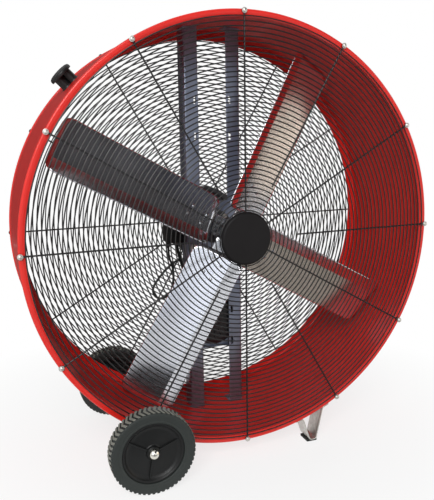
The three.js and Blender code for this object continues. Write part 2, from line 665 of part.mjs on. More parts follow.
function switchBoxCover() {
  const shape = rectangle(BOX_LEFT, -BOX_HALF_H, BOX_RIGHT, BOX_HALF_H);
  shape.holes.push(circlePath(KNOB_SHAFT_R + 1, 12, KNOB_X, KNOB_Z));
  return slab(shape, BOX_REAR + FIT, BOX_REAR + FIT + BOX_WALL);
}

// The rotary switch behind the cover; the knob's shaft sits in its bore.
function speedSwitch() {
  const half = SWITCH_SIZE / 2;
  const shape = rectangle(BOX_LEFT + BOX_WALL + FIT, KNOB_Z - half, KNOB_X + half, BOX_HALF_H - BOX_WALL - FIT);
  shape.holes.push(circlePath(KNOB_SHAFT_R + FIT, 12, KNOB_X, KNOB_Z));
  return slab(shape, BOX_REAR - SWITCH_DEPTH, BOX_REAR);
}

// The knob stands behind the rear guard, on a shaft that passes between two of its rings.
function switchKnob() {
  const face = DRUM_DEPTH + FIT + WIRE + KNOB_GAP;
  const body = turned([
    [0, BOX_REAR - SWITCH_DEPTH + 2], [KNOB_SHAFT_R, BOX_REAR - SWITCH_DEPTH + 2], [KNOB_SHAFT_R, face],
    [KNOB_R, face], [KNOB_R - 2, face + KNOB_W / 2], [0, face + KNOB_W / 2],
  ], 24);
  const grip = block([-3, 3], [face + 1, face + KNOB_W], [2 - KNOB_R, KNOB_R - 2]);
  return join(body, grip);
}

// ---------- motor lead ----------
// The lead's route in the drum's frame, from the box's gland to the motor's: it drops, hangs in
// a slack loop, crosses itself under the tie and runs behind the left strut.
const motorGlandZ = -MOTOR_DROP + Math.sqrt(MOTOR_R ** 2 - MOTOR_GLAND_X ** 2);
const LEAD_ROUTE = [
  [BOX_GLAND_X, LEAD_Y, -BOX_HALF_H - GLAND_L - 2 * FIT],
  [-129.5, LEAD_Y, -78], [-127, LEAD_Y, -98], [-120.5, LEAD_Y, -117], [-116.5, LEAD_Y, -138],
  [-116.5, LEAD_Y, -161], [-120.5, LEAD_Y, -186], [-131, LEAD_Y, -208], [-149.5, 291, -220],
  [-169.5, 293, -216.5], [-180, 295, -200.5], [-176.5, 297, -181], [-164, 299, -164],
  [-149, 300, -147], [-133, 300.5, -131.5], [-116, 300.5, -118], [-98, 300.5, -109],
  [-79, 299.5, -108.5], [-61.5, 297, -117], [-49.5, 294, -133], [-44, 291.5, -154],
  [-43, LEAD_Y, -176], [MOTOR_GLAND_X, LEAD_Y, -196],
  [MOTOR_GLAND_X, LEAD_Y, motorGlandZ + GLAND_L + FIT],
];

function motorLead() {
  const route = new THREE.CatmullRomCurve3(LEAD_ROUTE.map((p) => new THREE.Vector3(...p)), false, 'centripetal');
  const section = outline(circlePath(LEAD_R, LEAD_SIDES).getPoints().slice(0, LEAD_SIDES));
  return closed(new THREE.ExtrudeGeometry(section, { steps: LEAD_STEPS, extrudePath: route, bevelEnabled: false }));
}

// A strap round both runs of the lead where they cross, its axis halfway between them.
function leadTie() {
  const halfX = LEAD_R + 3.2;
  const halfY = 9.3;
  const ring = rectangle(-halfX - TIE_WALL, -halfY - TIE_WALL, halfX + TIE_WALL, halfY + TIE_WALL);
  ring.holes.push(new THREE.Path(rectangle(-halfX, -halfY, halfX, halfY).getPoints().slice(0, 4)));
  const band = new THREE.ExtrudeGeometry(ring, { depth: TIE_W, bevelEnabled: false });
  return closed(band.translate(0, 0, -TIE_W / 2).rotateY(rad(16)).translate(-119.6, 295.3, -121.4));
}

function boxGland() {
  const top = -BOX_HALF_H - FIT;
  return uprightTube(GLAND_R, LEAD_R + FIT, top - GLAND_L, top, BOX_GLAND_X);
}

function motorGland() {
  const body = uprightTube(GLAND_R, LEAD_R + FIT, motorGlandZ - GLAND_R, motorGlandZ + GLAND_L, MOTOR_GLAND_X);
  return cut(body, rod(MOTOR_R + FIT, SHELL_FRONT, SHELL_REAR, MOTOR_FACETS).translate(0, 0, -MOTOR_DROP));
}

const mainsGland = () =>
  uprightTube(GLAND_R, MAINS_HOLE_R, BOX_HALF_H + FIT, BOX_HALF_H + FIT + GLAND_L, MAINS_GLAND_X);

// ---------- wheels ----------
function tyre() {
  const half = WHEEL_W / 2;
  const wall = half - 2.5;
  return turned([
    [RIM_R, -wall], [RIM_R + 4, -half + 1], [WHEEL_R - 10, -half], [WHEEL_R - 3, -half + 3],
    [WHEEL_R, -half + 9], [WHEEL_R, half - 9], [WHEEL_R - 3, half - 3], [WHEEL_R - 10, half],
    [RIM_R + 4, half - 1], [RIM_R, wall],
  ], WHEEL_FACETS);
}

// A dished rim with its open side towards -Y; three thin ribs cross the dish.
function wheelRim() {
  const edge = WHEEL_W / 2 - 4.5;
  const seat = RIM_R - FIT;
  const floor = -HUB_FACE + 9;
  const back = floor + 5;
  const body = turned([
    [AXLE_BORE_R, -HUB_FACE], [WHEEL_HUB_R, -HUB_FACE], [WHEEL_HUB_R + 2, floor], [RIM_R - 10, floor],
    [RIM_R - 6, -edge], [seat, -edge], [seat, edge], [RIM_R - 6, edge], [RIM_R - 10, back],
    [WHEEL_HUB_R + 2, back], [WHEEL_HUB_R, WHEEL_W / 2], [AXLE_BORE_R, WHEEL_W / 2],
  ], WHEEL_FACETS);
  const ribs = RIB_ANGLES.map((deg) =>
    block([WHEEL_HUB_R - 1, RIM_R - 7], [floor - 5, floor + 1], [-RIB_W / 2, RIB_W / 2]).rotateY(-rad(deg)));
  return join(body, ...ribs);
}

// A domed cap nut whose flat side faces +Y at y = 0.
function capNut() {
  const bore = AXLE_STUB + 1;
  return turned([
    [0, -CAP_NUT_H], [CAP_NUT_R * 0.55, -CAP_NUT_H * 0.87], [CAP_NUT_R * 0.9, -CAP_NUT_H * 0.5],
    [CAP_NUT_R, -2], [CAP_NUT_R, 0], [AXLE_BORE_R, 0], [AXLE_BORE_R, -bore], [0, -bore],
  ], 16);
}

// A saddle on the drum with a boss for the axle, and a spacer tube that runs on to the wheel.
function axleBracket(y0, spacer) {
  const inner = SKIN_R + FIT;
  const middle = rad(AXLE_ANGLE_DEG);
  const half = rad(BRACKET_SPAN_DEG / 2);
  const saddle = slab(outline([
    ...arcPoints(inner, middle - half, middle + half, 8),
    ...arcPoints(inner + BRACKET_WALL, middle + half, middle - half, 8),
  ]), y0, y0 + BRACKET_W);
  const boss = rod(BRACKET_BOSS_R, y0, y0 + BRACKET_W, 20).translate(AXLE_X, 0, AXLE_Z);
  const sleeve = rod(SPACER_R, spacer[0], spacer[1], 20).translate(AXLE_X, 0, AXLE_Z);
  const bore = rod(AXLE_BORE_R, -DRUM_DEPTH, 2 * DRUM_DEPTH, 20).translate(AXLE_X, 0, AXLE_Z);
  return cut(join(saddle, boss, sleeve), bore);
}

// ---------- feet ----------
// A strip of this wall along a line of points, as an outline.
function strip(points, wall) {
  const left = [];
  const right = [];
  points.forEach((p, i) => {
    const before = points[Math.max(i - 1, 0)];
    const after = points[Math.min(i + 1, points.length - 1)];
    const a = p.clone().sub(before).normalize();
    const b = after.clone().sub(p).normalize();
    const along = a.clone().add(b).normalize();
    const half = wall / 2 / Math.max(0.3, along.dot(b.lengthSq() ? b : a));
    const normal = new THREE.Vector2(-along.y, along.x).multiplyScalar(half);
    left.push(p.clone().add(normal));
    right.push(p.clone().sub(normal));
  });
  return outline([...left, ...right.reverse()]);
}

const strapR = BEAD_OUTER_R + FIT + FOOT_WALL / 2;
const soleZ = -AXIS_HEIGHT + PAD_H + FIT + FOOT_WALL / 2;

function footStrap(y0) {
  const onDrum = (x) => new THREE.Vector2(x, -Math.sqrt(strapR ** 2 - x ** 2));
  const alongDrum = (x, step) => {
    const angle = Math.atan2(onDrum(x).y, x) + step / strapR;
    return polar(strapR + FIT, angle);
  };
  const line = [
    alongDrum(FOOT_LEFT_X, -FOOT_TAB), onDrum(FOOT_LEFT_X), new THREE.Vector2(FOOT_SOLE_X[0], soleZ),
    new THREE.Vector2(FOOT_SOLE_X[1], soleZ), onDrum(FOOT_RIGHT_X), alongDrum(FOOT_RIGHT_X, FOOT_TAB),
  ];
  return slab(strip(line, FOOT_WALL), y0, y0 + FOOT_W);
}

const footPad = (y0) => block(
  [FOOT_SOLE_X[0] - PAD_MARGIN, FOOT_SOLE_X[1] + PAD_MARGIN], [y0 + PAD_MARGIN, y0 + FOOT_W - PAD_MARGIN],
  [-AXIS_HEIGHT, -AXIS_HEIGHT + PAD_H],
);

// ---------- lead post ----------
// Two round lobes side by side under a domed cap, standing out from the skin and cut to fit it.
function leadPost() {
  const base = SKIN_R - BEAD_R;
  const top = SKIN_R + POST_H;
  const lobe = (side) => rod(POST_LOBE_R, base, top + 1, 16).translate(side * POST_LOBE_SPREAD, 0, 0);
  const cap = turned([
    [0, top], [POST_CAP_R, top], [POST_CAP_R, top + 3], [POST_CAP_R * 0.75, top + POST_CAP_H * 0.8],
    [0, top + POST_CAP_H],
  ], 24);
  const post = join(lobe(-1), lobe(1), cap);
  post.rotateX(Math.PI / 2).rotateY(rad(90 - POST_ANGLE_DEG)).translate(0, DRUM_DEPTH / 2, 0);
  return cut(post, rod(SKIN_R + FIT, 0, DRUM_DEPTH, DRUM_FACETS));
}

// ---------- the pieces, placed ----------
add(drumFrame, 'drum_shell', drumShell(), redPaint);
add(drumFrame, 'front_guard', guard(-FIT - WIRE, 1), blackPaint);
add(drumFrame, 'rear_guard', guard(DRUM_DEPTH + FIT, 0), blackPaint);
add(drumFrame, 'guard_centre_plate', centrePlate(), blackPaint);
screwAngles().forEach((angle, i) => {
  const at = polar(BEAD_CENTRE_R, angle);
  const name = `guard_screw_${String(i + 1).padStart(2, '0')}`;
  add(drumFrame, name, guardScrew(), zinc).position.set(at.x, 0, at.y);
});

bladeAngles().forEach((angle, i) => {
  add(drumFrame, `fan_blade_${i + 1}`, blade(), sheetAluminium).rotation.y = -angle;
});
add(drumFrame, 'fan_hub', fanHub(), castIron);
add(drumFrame, 'fan_shaft', rod(SHAFT_R, SHAFT_FRONT, SHAFT_REAR, 20), steel);
add(drumFrame, 'driven_pulley', pulley(DRIVEN_PITCH_R, SHAFT_BORE_R, PULLEY_HUB_R, 32), castIron);
add(drumFrame, 'left_strut', strut(-1), greyPaint);
add(drumFrame, 'right_strut', strut(1), greyPaint);
add(drumFrame, 'bearing_plate', bearingPlate(), greyPaint);
add(drumFrame, 'bearing_housing', bearingHousing(), castIron);
add(drumFrame, 'front_bearing', bearing(HOUSING_FRONT + FIT), steel);
add(drumFrame, 'rear_bearing', bearing(HOUSING_REAR - FIT - BEARING_W), steel);
add(drumFrame, 'drive_belt', driveBelt(), rubber);

const motorFrame = new THREE.Group();
motorFrame.position.z = -MOTOR_DROP;
drumFrame.add(motorFrame);
add(motorFrame, 'motor_shell', motorShell(), motorPaint);
add(motorFrame, 'motor_front_bell', endBell(MOTOR_FRONT, MOTOR_FRONT + BELL_W), motorPaint);
add(motorFrame, 'motor_rear_bell', endBell(MOTOR_REAR, MOTOR_REAR - BELL_W), motorPaint);
add(motorFrame, 'motor_stator', motorStator(), copper);
add(motorFrame, 'motor_rotor', motorRotor(), steel);
add(motorFrame, 'motor_pulley', pulley(MOTOR_PITCH_R, MOTOR_SHAFT_R + FIT, MOTOR_PITCH_R, 24), castIron);
add(drumFrame, 'motor_mount', motorMount(), greyPaint);

add(drumFrame, 'switch_box', switchBox(), blackPlastic);
add(drumFrame, 'switch_box_cover', switchBoxCover(), blackPlastic);
add(drumFrame, 'speed_switch', speedSwitch(), blackPlastic);
add(drumFrame, 'switch_knob', switchKnob(), blackPlastic).position.set(KNOB_X, 0, KNOB_Z);
add(drumFrame, 'motor_lead', motorLead(), rubber);
add(drumFrame, 'lead_tie', leadTie(), blackPlastic);
add(drumFrame, 'box_gland', boxGland(), blackPlastic);
add(drumFrame, 'motor_gland', motorGland(), blackPlastic);
add(drumFrame, 'mains_gland', mainsGland(), blackPlastic);

add(drumFrame, 'lead_post', leadPost(), blackPlastic);

const wheels = [
  { name: 'front', y: FRONT_WHEEL_Y, turn: 0, nut: FRONT_NUT_Y },
  { name: 'rear', y: REAR_WHEEL_Y, turn: Math.PI, nut: REAR_NUT_Y },
];
for (const { name, y, turn, nut } of wheels) {
  add(floorFrame, `${name}_tyre`, tyre(), rubber).position.set(AXLE_X, y, AXLE_Z);
  const rim = add(floorFrame, `${name}_rim`, wheelRim(), blackPlastic);
  rim.position.set(AXLE_X, y, AXLE_Z);
  rim.rotation.z = turn;
  const cap = add(floorFrame, `${name}_cap_nut`, capNut(), chrome);
  cap.position.set(AXLE_X, nut, AXLE_Z);
  cap.rotation.z = turn;
}
const axle = rod(AXLE_R, FRONT_NUT_Y - AXLE_STUB, REAR_NUT_Y + AXLE_STUB, 20);
add(floorFrame, 'wheel_axle', axle, steel).position.set(AXLE_X, 0, AXLE_Z);
const rearBracketY = DRUM_DEPTH - BRACKET_INSET - BRACKET_W;
const frontSpacer = [-FRONT_WHEEL_GAP + FIT, BRACKET_INSET + 1];
const rearSpacer = [rearBracketY + BRACKET_W - 1, DRUM_DEPTH + REAR_WHEEL_GAP - FIT];
add(floorFrame, 'front_axle_bracket', axleBracket(BRACKET_INSET, frontSpacer), blackPaint);
add(floorFrame, 'rear_axle_bracket', axleBracket(rearBracketY, rearSpacer), blackPaint);

const rearFootY = DRUM_DEPTH - FOOT_INSET - FOOT_W;
add(floorFrame, 'front_foot_strap', footStrap(FOOT_INSET), zinc);
add(floorFrame, 'front_foot_pad', footPad(FOOT_INSET), rubber);
add(floorFrame, 'rear_foot_strap', footStrap(rearFootY), zinc);
add(floorFrame, 'rear_foot_pad', footPad(rearFootY), rubber);

export default part;
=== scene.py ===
"""The looks of a belt-drive drum fan, laid out as an add-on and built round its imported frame.

Shapes are drawn in millimetres, most of them in the drum's own frame: y = 0 is the front rim's
plane, the fan's axis is the Y axis, and the whole drum stands turned a little on its wheels.
"""
import math

import bmesh
import bpy
from mathutils import Matrix, Vector


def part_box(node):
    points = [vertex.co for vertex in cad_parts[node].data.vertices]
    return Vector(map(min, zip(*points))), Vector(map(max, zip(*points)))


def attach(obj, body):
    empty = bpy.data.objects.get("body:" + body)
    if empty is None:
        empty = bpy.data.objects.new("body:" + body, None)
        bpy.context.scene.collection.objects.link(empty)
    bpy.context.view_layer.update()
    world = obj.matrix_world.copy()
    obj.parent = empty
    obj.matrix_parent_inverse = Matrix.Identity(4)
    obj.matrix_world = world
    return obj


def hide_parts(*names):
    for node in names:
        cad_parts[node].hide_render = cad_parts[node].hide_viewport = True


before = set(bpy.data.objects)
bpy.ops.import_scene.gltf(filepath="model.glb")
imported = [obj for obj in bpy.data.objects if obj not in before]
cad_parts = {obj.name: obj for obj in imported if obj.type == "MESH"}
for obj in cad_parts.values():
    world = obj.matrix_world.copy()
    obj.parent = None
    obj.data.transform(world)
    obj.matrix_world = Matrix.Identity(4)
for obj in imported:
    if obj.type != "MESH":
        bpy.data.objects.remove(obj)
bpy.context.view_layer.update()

bl_info = {
    "name": "Drum Fan",
    "version": (1, 0, 0),
    "blender": (4, 5, 0),
    "location": "3D View > Sidebar > Drum Fan",
    "description": "Builds a belt-drive drum fan with wire guards, wheels and feet",
    "category": "Add Mesh",
}

MM = 0.001


def middle(node):
    """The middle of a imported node's box."""
    low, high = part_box(node)
    return (low + high) / 2


# ---------- where the drum is ----------
FIT = 0.3
LEAN = math.radians(1)
FRONT_GUARD_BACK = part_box("front_guard")[1].y
RIM_Y = FRONT_GUARD_BACK + FIT * MM
AXIS_Z = middle("fan_shaft").z
UPRIGHT = Matrix.Translation((0, RIM_Y, AXIS_Z))
DRUM = UPRIGHT @ Matrix.Rotation(-LEAN, 4, "Y")

# ---------- sizes that the pieces share, in millimetres ----------
DRUM_DEPTH = 380
SKIN_R = 574.5
SKIN_WALL = 2
BEAD_R = 4.5
BEAD_CENTRE_R = 573
FRONT_LIP_R = 559
REAR_LIP_R = 549
LIP_WALL = 2
GUARD_INNER_R = 74.5
GUARD_OUTER_R = 560
SHORT_SPOKE_END = 152
SPOKES = 12
EYE_R = 5
SCREW_SEAT = 4.6
BLADE_PHASE = 60.9
BLADE_ROOT = 62
BLADE_TIP = 534
BLADE_CHORD_ROOT = 149
SHAFT_R = 12.5
HUB_R = 35
HUB_FRONT = 66
HUB_REAR = 128
STRUT_FRONT = 237
STRUT_REAR = 287
STRUT_INNER_X = 43
STRUT_OUTER_X = 86
STRUT_WALL = 3
PULLEY_FRONT = 332
PULLEY_W = 20
DRIVEN_PITCH_R = 104
MOTOR_PITCH_R = 26
MOTOR_DROP = 297
MOTOR_R = 78
MOTOR_FRONT = 243.5
MOTOR_REAR = 326
BELL_W = 12
BOX_LEFT = -138.3
BOX_RIGHT = -86.3
BOX_FRONT = 262
BOX_REAR = 316
BOX_HALF_H = 48
LEAD_Y = 290
LEAD_R = 3.5
GLAND_R = 8
GLAND_L = 14
WHEEL_R = 110.3
WHEEL_HALF = 21.5
RIM_R = 80.3
STRAP_R = 579.3
FOOT_W = 55


# ---------- settings a user would change ----------
def linear(code):
    """A 0xRRGGBB display colour as the linear RGBA that shaders use."""
    shares = [(code >> shift & 255) / 255 for shift in (16, 8, 0)]
    tones = (c / 12.92 if c <= 0.04045 else ((c + 0.055) / 1.055) ** 2.4 for c in shares)
    return (*tones, 1.0)


def colour(name, description, code):
    return bpy.props.FloatVectorProperty(
        name=name, description=description, subtype="COLOR", size=4, min=0, max=1, default=linear(code),
    )


def length(name, description, millimetres):
    return bpy.props.FloatProperty(
        name=name, description=description, subtype="DISTANCE", unit="LENGTH", min=0,
        default=millimetres * MM,
    )


class DrumFanSizes(bpy.types.PropertyGroup):
    ring_count: bpy.props.IntProperty(
        name="Rings", description="Wire rings of each guard", default=41, min=2,
    )
    ring_wire: length("Ring wire", "Diameter of the guards' ring wire", 3.4)
    spoke_wire: length("Spoke wire", "Diameter of the guards' spokes", 4.5)
    blade_sheet: length("Blade sheet", "Thickness of the blades' sheet", 2.5)
    tread_blocks: bpy.props.IntProperty(
        name="Tread blocks", description="Chevrons round each tyre", default=54, min=8,
    )
    tread_depth: length("Tread depth", "Depth of the tyres' tread", 3)


class DrumFanColours(bpy.types.PropertyGroup):
    red: colour("Drum red", "Gloss paint of the drum", 0xD8261E)
    wire: colour("Wire black", "Gloss coating of the guards", 0x0E0E0F)
    black: colour("Black paint", "Satin paint of the plate and the axle brackets", 0x151314)
    grey: colour("Strut grey", "Metallic blue-grey paint of the struts and mounts", 0x858D9F)
    motor: colour("Motor paint", "Dark paint of the motor", 0x1C1D21)
    aluminium: colour("Aluminium", "Sheet of the blades", 0xECEEF4)
    zinc: colour("Zinc", "Plating of the screws and feet", 0xD0CFC9)
    steel: colour("Steel", "Turned steel of shafts and bearings", 0xA9ABAF)
    chrome: colour("Chrome", "Plating of the cap nuts", 0xE3E0D6)
    iron: colour("Cast iron", "Castings of hub, housing and pulleys", 0x4B4D50)
    copper: colour("Copper", "The motor's windings", 0x9A5A34)
    rubber: colour("Rubber", "Tyres, belt, pads and lead", 0x232826)
    plastic: colour("Black plastic", "Rims, switch box, knob and glands", 0x151616)


# ---------- finishes ----------
def node(tree, kind, inputs=(), **settings):
    made = tree.nodes.new(kind)
    for key, value in settings.items():
        setattr(made, key, value)
    for key, value in dict(inputs).items():
        made.inputs[key].default_value = value
    return made


def place_of(tree, source="Object", scale=(1, 1, 1), location=(0, 0, 0)):
    """The surface's coordinates, moved and stretched."""
    at = node(tree, "ShaderNodeTexCoord")
    mapping = node(tree, "ShaderNodeMapping", {"Scale": scale, "Location": location})
    tree.links.new(at.outputs[source], mapping.inputs["Vector"])
    return mapping.outputs["Vector"]


def noise(tree, vector, scale, detail=3.0, roughness=0.55):
    made = node(tree, "ShaderNodeTexNoise", {"Scale": scale, "Detail": detail, "Roughness": roughness})
    tree.links.new(vector, made.inputs["Vector"])
    return made.outputs[0]


def ramp(tree, value, stops):
    made = node(tree, "ShaderNodeValToRGB")
    for _ in stops[2:]:
        made.color_ramp.elements.new(0.5)
    for element, (position, tone) in zip(made.color_ramp.elements, stops):
        element.position = position
        element.color = tone
    tree.links.new(value, made.inputs[0])
    return made.outputs[0]


def spread(tree, value, low, high, start=0.3, end=0.7):
    """A value between start and end as one between low and high."""
    made = node(tree, "ShaderNodeMapRange", {1: start, 2: end, 3: low, 4: high})
    tree.links.new(value, made.inputs[0])
    return made.outputs[0]


def bump(tree, height, strength, depth):
    made = node(tree, "ShaderNodeBump", {"Strength": strength, "Distance": depth})
    tree.links.new(height, made.inputs["Height"])
    return made.outputs["Normal"]


def shaded(tone, share):
    return tuple(c * share for c in tone[:3]) + (1.0,)


def surface(name, tone, roughness, metallic=0.0, shade=0.86, patch=7.0, grain=700.0, relief=0.00003,
            coat=0.0, specular=0.5):
    """A finish whose tone and gloss drift in patches, over a fine grain in relief.

    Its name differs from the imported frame's own materials, because one already there is used as it is.
    """
    made = bpy.data.materials.get(name)
    if made:
        return made
    made = bpy.data.materials.new(name)
    made.use_nodes = True
    tree = made.node_tree
    shader = tree.nodes["Principled BSDF"]
    shader.inputs["Metallic"].default_value = metallic
    shader.inputs["Specular IOR Level"].default_value = specular
    shader.inputs["Coat Weight"].default_value = coat
    shader.inputs["Coat Roughness"].default_value = 0.08
    at = place_of(tree)
    patches = noise(tree, at, patch, 5.0)
    tones = ramp(tree, patches, [(0.3, shaded(tone, shade)), (0.7, tone)])
    tree.links.new(tones, shader.inputs["Base Color"])
    tree.links.new(spread(tree, patches, roughness[1], roughness[0]), shader.inputs["Roughness"])
    tree.links.new(bump(tree, noise(tree, at, grain, 2.0), 0.5, relief), shader.inputs["Normal"])
    return made


def colours():
    return bpy.context.scene.drum_fan_colours


def sizes():
    return bpy.context.scene.drum_fan_sizes


def red_paint():
    return surface("red_gloss_paint", colours().red, (0.28, 0.38), shade=0.9, patch=4, grain=260,
                   relief=0.00002, coat=0.12, specular=0.35)


def wire_coating():
    return surface("black_wire_coating", colours().wire, (0.3, 0.45), shade=0.7, patch=30,
                   grain=900, specular=0.4)


def black_paint():
    return surface("black_satin_paint", colours().black, (0.42, 0.55), shade=0.85, patch=12,
                   grain=1200, specular=0.15)


def grey_paint():
    return surface("blue_grey_paint", colours().grey, (0.28, 0.38), metallic=0.75, patch=9, grain=800)


def motor_paint():
    return surface("motor_enamel", colours().motor, (0.35, 0.5), shade=0.8, patch=20, grain=500,
                   relief=0.00006)


def zinc_plating():
    return surface("zinc_plating", colours().zinc, (0.28, 0.45), metallic=0.85, shade=0.72,
                   patch=90, grain=600)


def turned_steel():
    return surface("turned_steel", colours().steel, (0.2, 0.35), metallic=1.0, shade=0.8,
                   patch=60, grain=1500)


def chrome_plating():
    return surface("chrome_plating", colours().chrome, (0.08, 0.18), metallic=1.0, shade=0.9,
                   patch=80, grain=900, relief=0.00001)


def cast_iron():
    return surface("iron_casting", colours().iron, (0.45, 0.65), metallic=0.6, shade=0.7,
                   patch=60, grain=420, relief=0.0002)


def winding_copper():
    return surface("copper_winding", colours().copper, (0.35, 0.5), metallic=0.9, shade=0.6,
                   patch=40, grain=1500, relief=0.0003)


def soft_rubber():
    return surface("soft_rubber", colours().rubber, (0.6, 0.8), shade=0.75, patch=35, grain=1400,
                   relief=0.00008, specular=0.35)


def black_plastic():
    return surface("moulded_plastic", colours().plastic, (0.35, 0.5), shade=0.85, patch=25,
                   grain=1600, specular=0.25)


def blade_aluminium():
    """Sheet with a fine brushing along the blade, read from the blade's own UV map."""
    name = "brushed_aluminium"
    made = bpy.data.materials.get(name)
    if made:
        return made
    made = bpy.data.materials.new(name)
    made.use_nodes = True
    tree = made.node_tree
    shader = tree.nodes["Principled BSDF"]
    shader.inputs["Metallic"].default_value = 1
    tone = colours().aluminium
    brushed = noise(tree, place_of(tree, "UV", scale=(2, 160, 1)), 3.0, 4.0)
    patches = noise(tree, place_of(tree), 5.0, 4.0)
    tones = ramp(tree, brushed, [(0.3, shaded(tone, 0.88)), (0.7, tone)])
    tree.links.new(tones, shader.inputs["Base Color"])
    tree.links.new(spread(tree, patches, 0.13, 0.21), shader.inputs["Roughness"])
    tree.links.new(bump(tree, brushed, 0.2, 0.00002), shader.inputs["Normal"])
    return made


# Lighter tone of the tyres' tread tops: partly dust, partly a painted highlight of the lit tread.
DUST_AND_HIGHLIGHT_TONE = 0x7C7D75
DUST_AND_HIGHLIGHT_DEEP = 1.9
DUST_AND_HIGHLIGHT_SHALLOW = 0.7


def tyre_rubber():
    """Rubber whose tread tops are lighter, partly dust and partly a painted highlight: the tone follows the
    distance from the axle.
    """
    name = "treaded_rubber"
    made = bpy.data.materials.get(name)
    if made:
        return made
    axle = middle("wheel_axle")
    rubber = colours().rubber
    made = surface(name, rubber, (0.5, 0.7), shade=0.8, patch=30, grain=1300, relief=0.00006,
                   specular=0.4)
    tree = made.node_tree
    shader = tree.nodes["Principled BSDF"]
    from_axle = place_of(tree, scale=(1, 0, 1), location=(-axle.x, 0, -axle.z))
    far = node(tree, "ShaderNodeVectorMath", operation="LENGTH")
    tree.links.new(from_axle, far.inputs[0])
    # Tread tops between these depths take the lighter tone: dust with a painted highlight.
    dust_and_highlight_share = spread(tree, far.outputs["Value"], 0, 1, (WHEEL_R - DUST_AND_HIGHLIGHT_DEEP) * MM,
                  (WHEEL_R - DUST_AND_HIGHLIGHT_SHALLOW) * MM)
    dust_and_highlight_tones = ramp(tree, dust_and_highlight_share, [(0.0, rubber), (0.2, rubber), (0.8, linear(DUST_AND_HIGHLIGHT_TONE))])
    tree.links.new(dust_and_highlight_tones, shader.inputs["Base Color"])
    return made


# ---------- making a piece ----------
def piece(bm, name, body, finish, replaces=(), matrix=DRUM, edge_deg=32, sheet_mm=0, bevel_mm=0):
    """Welds and places a drawn shape, gives it its finish and ties it to a body of the frame."""
    bmesh.ops.remove_doubles(bm, verts=bm.verts, dist=0.004)
    bmesh.ops.recalc_face_normals(bm, faces=bm.faces)
    bmesh.ops.transform(bm, matrix=matrix @ Matrix.Scale(MM, 4), verts=bm.verts)
    mesh = bpy.data.meshes.new(name)
    bm.to_mesh(mesh)
    bm.free()
    mesh.shade_smooth()
    mesh.set_sharp_from_angle(angle=math.radians(edge_deg))
    mesh.materials.append(finish)
    made = bpy.data.objects.new(name, mesh)
    bpy.context.scene.collection.objects.link(made)
    if sheet_mm:
        solid = made.modifiers.new("sheet", "SOLIDIFY")
        solid.thickness = sheet_mm * MM
        solid.offset = 0
    if bevel_mm:
        soft = made.modifiers.new("edges", "BEVEL")
        soft.width = bevel_mm * MM
        soft.segments = 2
        soft.limit_method = "ANGLE"
    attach(made, body)
    if replaces:
        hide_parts(*replaces)
    return made


def keep(finish, slot, *nodes):
    """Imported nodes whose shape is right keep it, and only get a finish."""
    for name in nodes:
        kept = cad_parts[name]
        for holder in kept.material_slots:
            holder.material = finish


def polar(r, degrees, y=0.0):
    angle = math.radians(degrees)
    return Vector((r * math.cos(angle), y, r * math.sin(angle)))


def arc(centre, radius, start_deg, end_deg, steps):
    """Points on an arc in a plane, both ends included."""
    angles = [math.radians(start_deg + (end_deg - start_deg) * i / steps) for i in range(steps + 1)]
    return [(centre[0] + radius * math.cos(a), centre[1] + radius * math.sin(a)) for a in angles]


def mix(a, b, share):
    return a + (b - a) * share


def eased(points, radius, closed=False, steps=3):
    """A line of points in a plane with its corners rounded off."""
    points = [Vector(p) for p in points]
    result = []
    last = len(points) - 1
    for i, corner in enumerate(points):
        if not closed and i in (0, last):
            result.append(corner)
            continue
        before = points[i - 1] - corner
        after = points[(i + 1) % len(points)] - corner
        reach_in = min(radius, before.length * 0.45)
        reach_out = min(radius, after.length * 0.45)
        start = corner + before.normalized() * reach_in
        end = corner + after.normalized() * reach_out
        for k in range(steps + 1):
            t = k / steps
            result.append(start * (1 - t) ** 2 + corner * (2 * t * (1 - t)) + end * t ** 2)
    return [tuple(p) for p in result]


def lathe(profile, steps=72, bm=None):
    """(radius, y) points turned round the Y axis: a ring, or a body whose ends lie on the axis."""
    bm = bm or bmesh.new()
    verts = [bm.verts.new((r, y, 0)) for r, y in profile]
    edges = [bm.edges.new(pair) for pair in zip(verts, verts[1:])]
    if profile[0][0] > 0:
        edges.append(bm.edges.new((verts[-1], verts[0])))
    bmesh.ops.spin(bm, geom=verts + edges, cent=(0, 0, 0), axis=(0, 1, 0), dvec=(0, 0, 0),
                   angle=2 * math.pi, steps=steps, use_merge=True, use_duplicate=False)
    return bm


def rod(bm, start, end, radius, sides=12, end_radius=None):
    """A round bar, or a tapered one where its end has a radius of its own."""
    start, end = Vector(start), Vector(end)
    along = end - start
    turn = along.to_track_quat("Z", "Y").to_matrix().to_4x4()
    bmesh.ops.create_cone(bm, cap_ends=True, cap_tris=False, segments=sides, radius1=radius,
                          radius2=radius if end_radius is None else end_radius, depth=along.length,
                          matrix=Matrix.Translation((start + end) / 2) @ turn)


def block(bm, low, high, bevel=0.0):
    """A box between two corners, with its edges broken."""
    low, high = Vector(low), Vector(high)
    matrix = Matrix.Translation((low + high) / 2) @ Matrix.Diagonal((*(high - low), 1))
    made = bmesh.ops.create_cube(bm, size=1, matrix=matrix)
    if bevel:
        edges = {e for v in made["verts"] for e in v.link_edges}
        bmesh.ops.bevel(bm, geom=list(edges), offset=bevel, segments=2, affect="EDGES", profile=0.5,
                        material=-1, clamp_overlap=True)


def sheet(bm, columns, rows, place):
    """A grid of faces whose corners place(i, j) puts where they belong, with a UV map."""
    made = bmesh.ops.create_grid(bm, x_segments=columns, y_segments=rows, size=0.5, calc_uvs=True)
    for v in made["verts"]:
        v.co = place(round((v.co.x + 0.5) * columns), round((v.co.y + 0.5) * rows))
    return made["verts"]


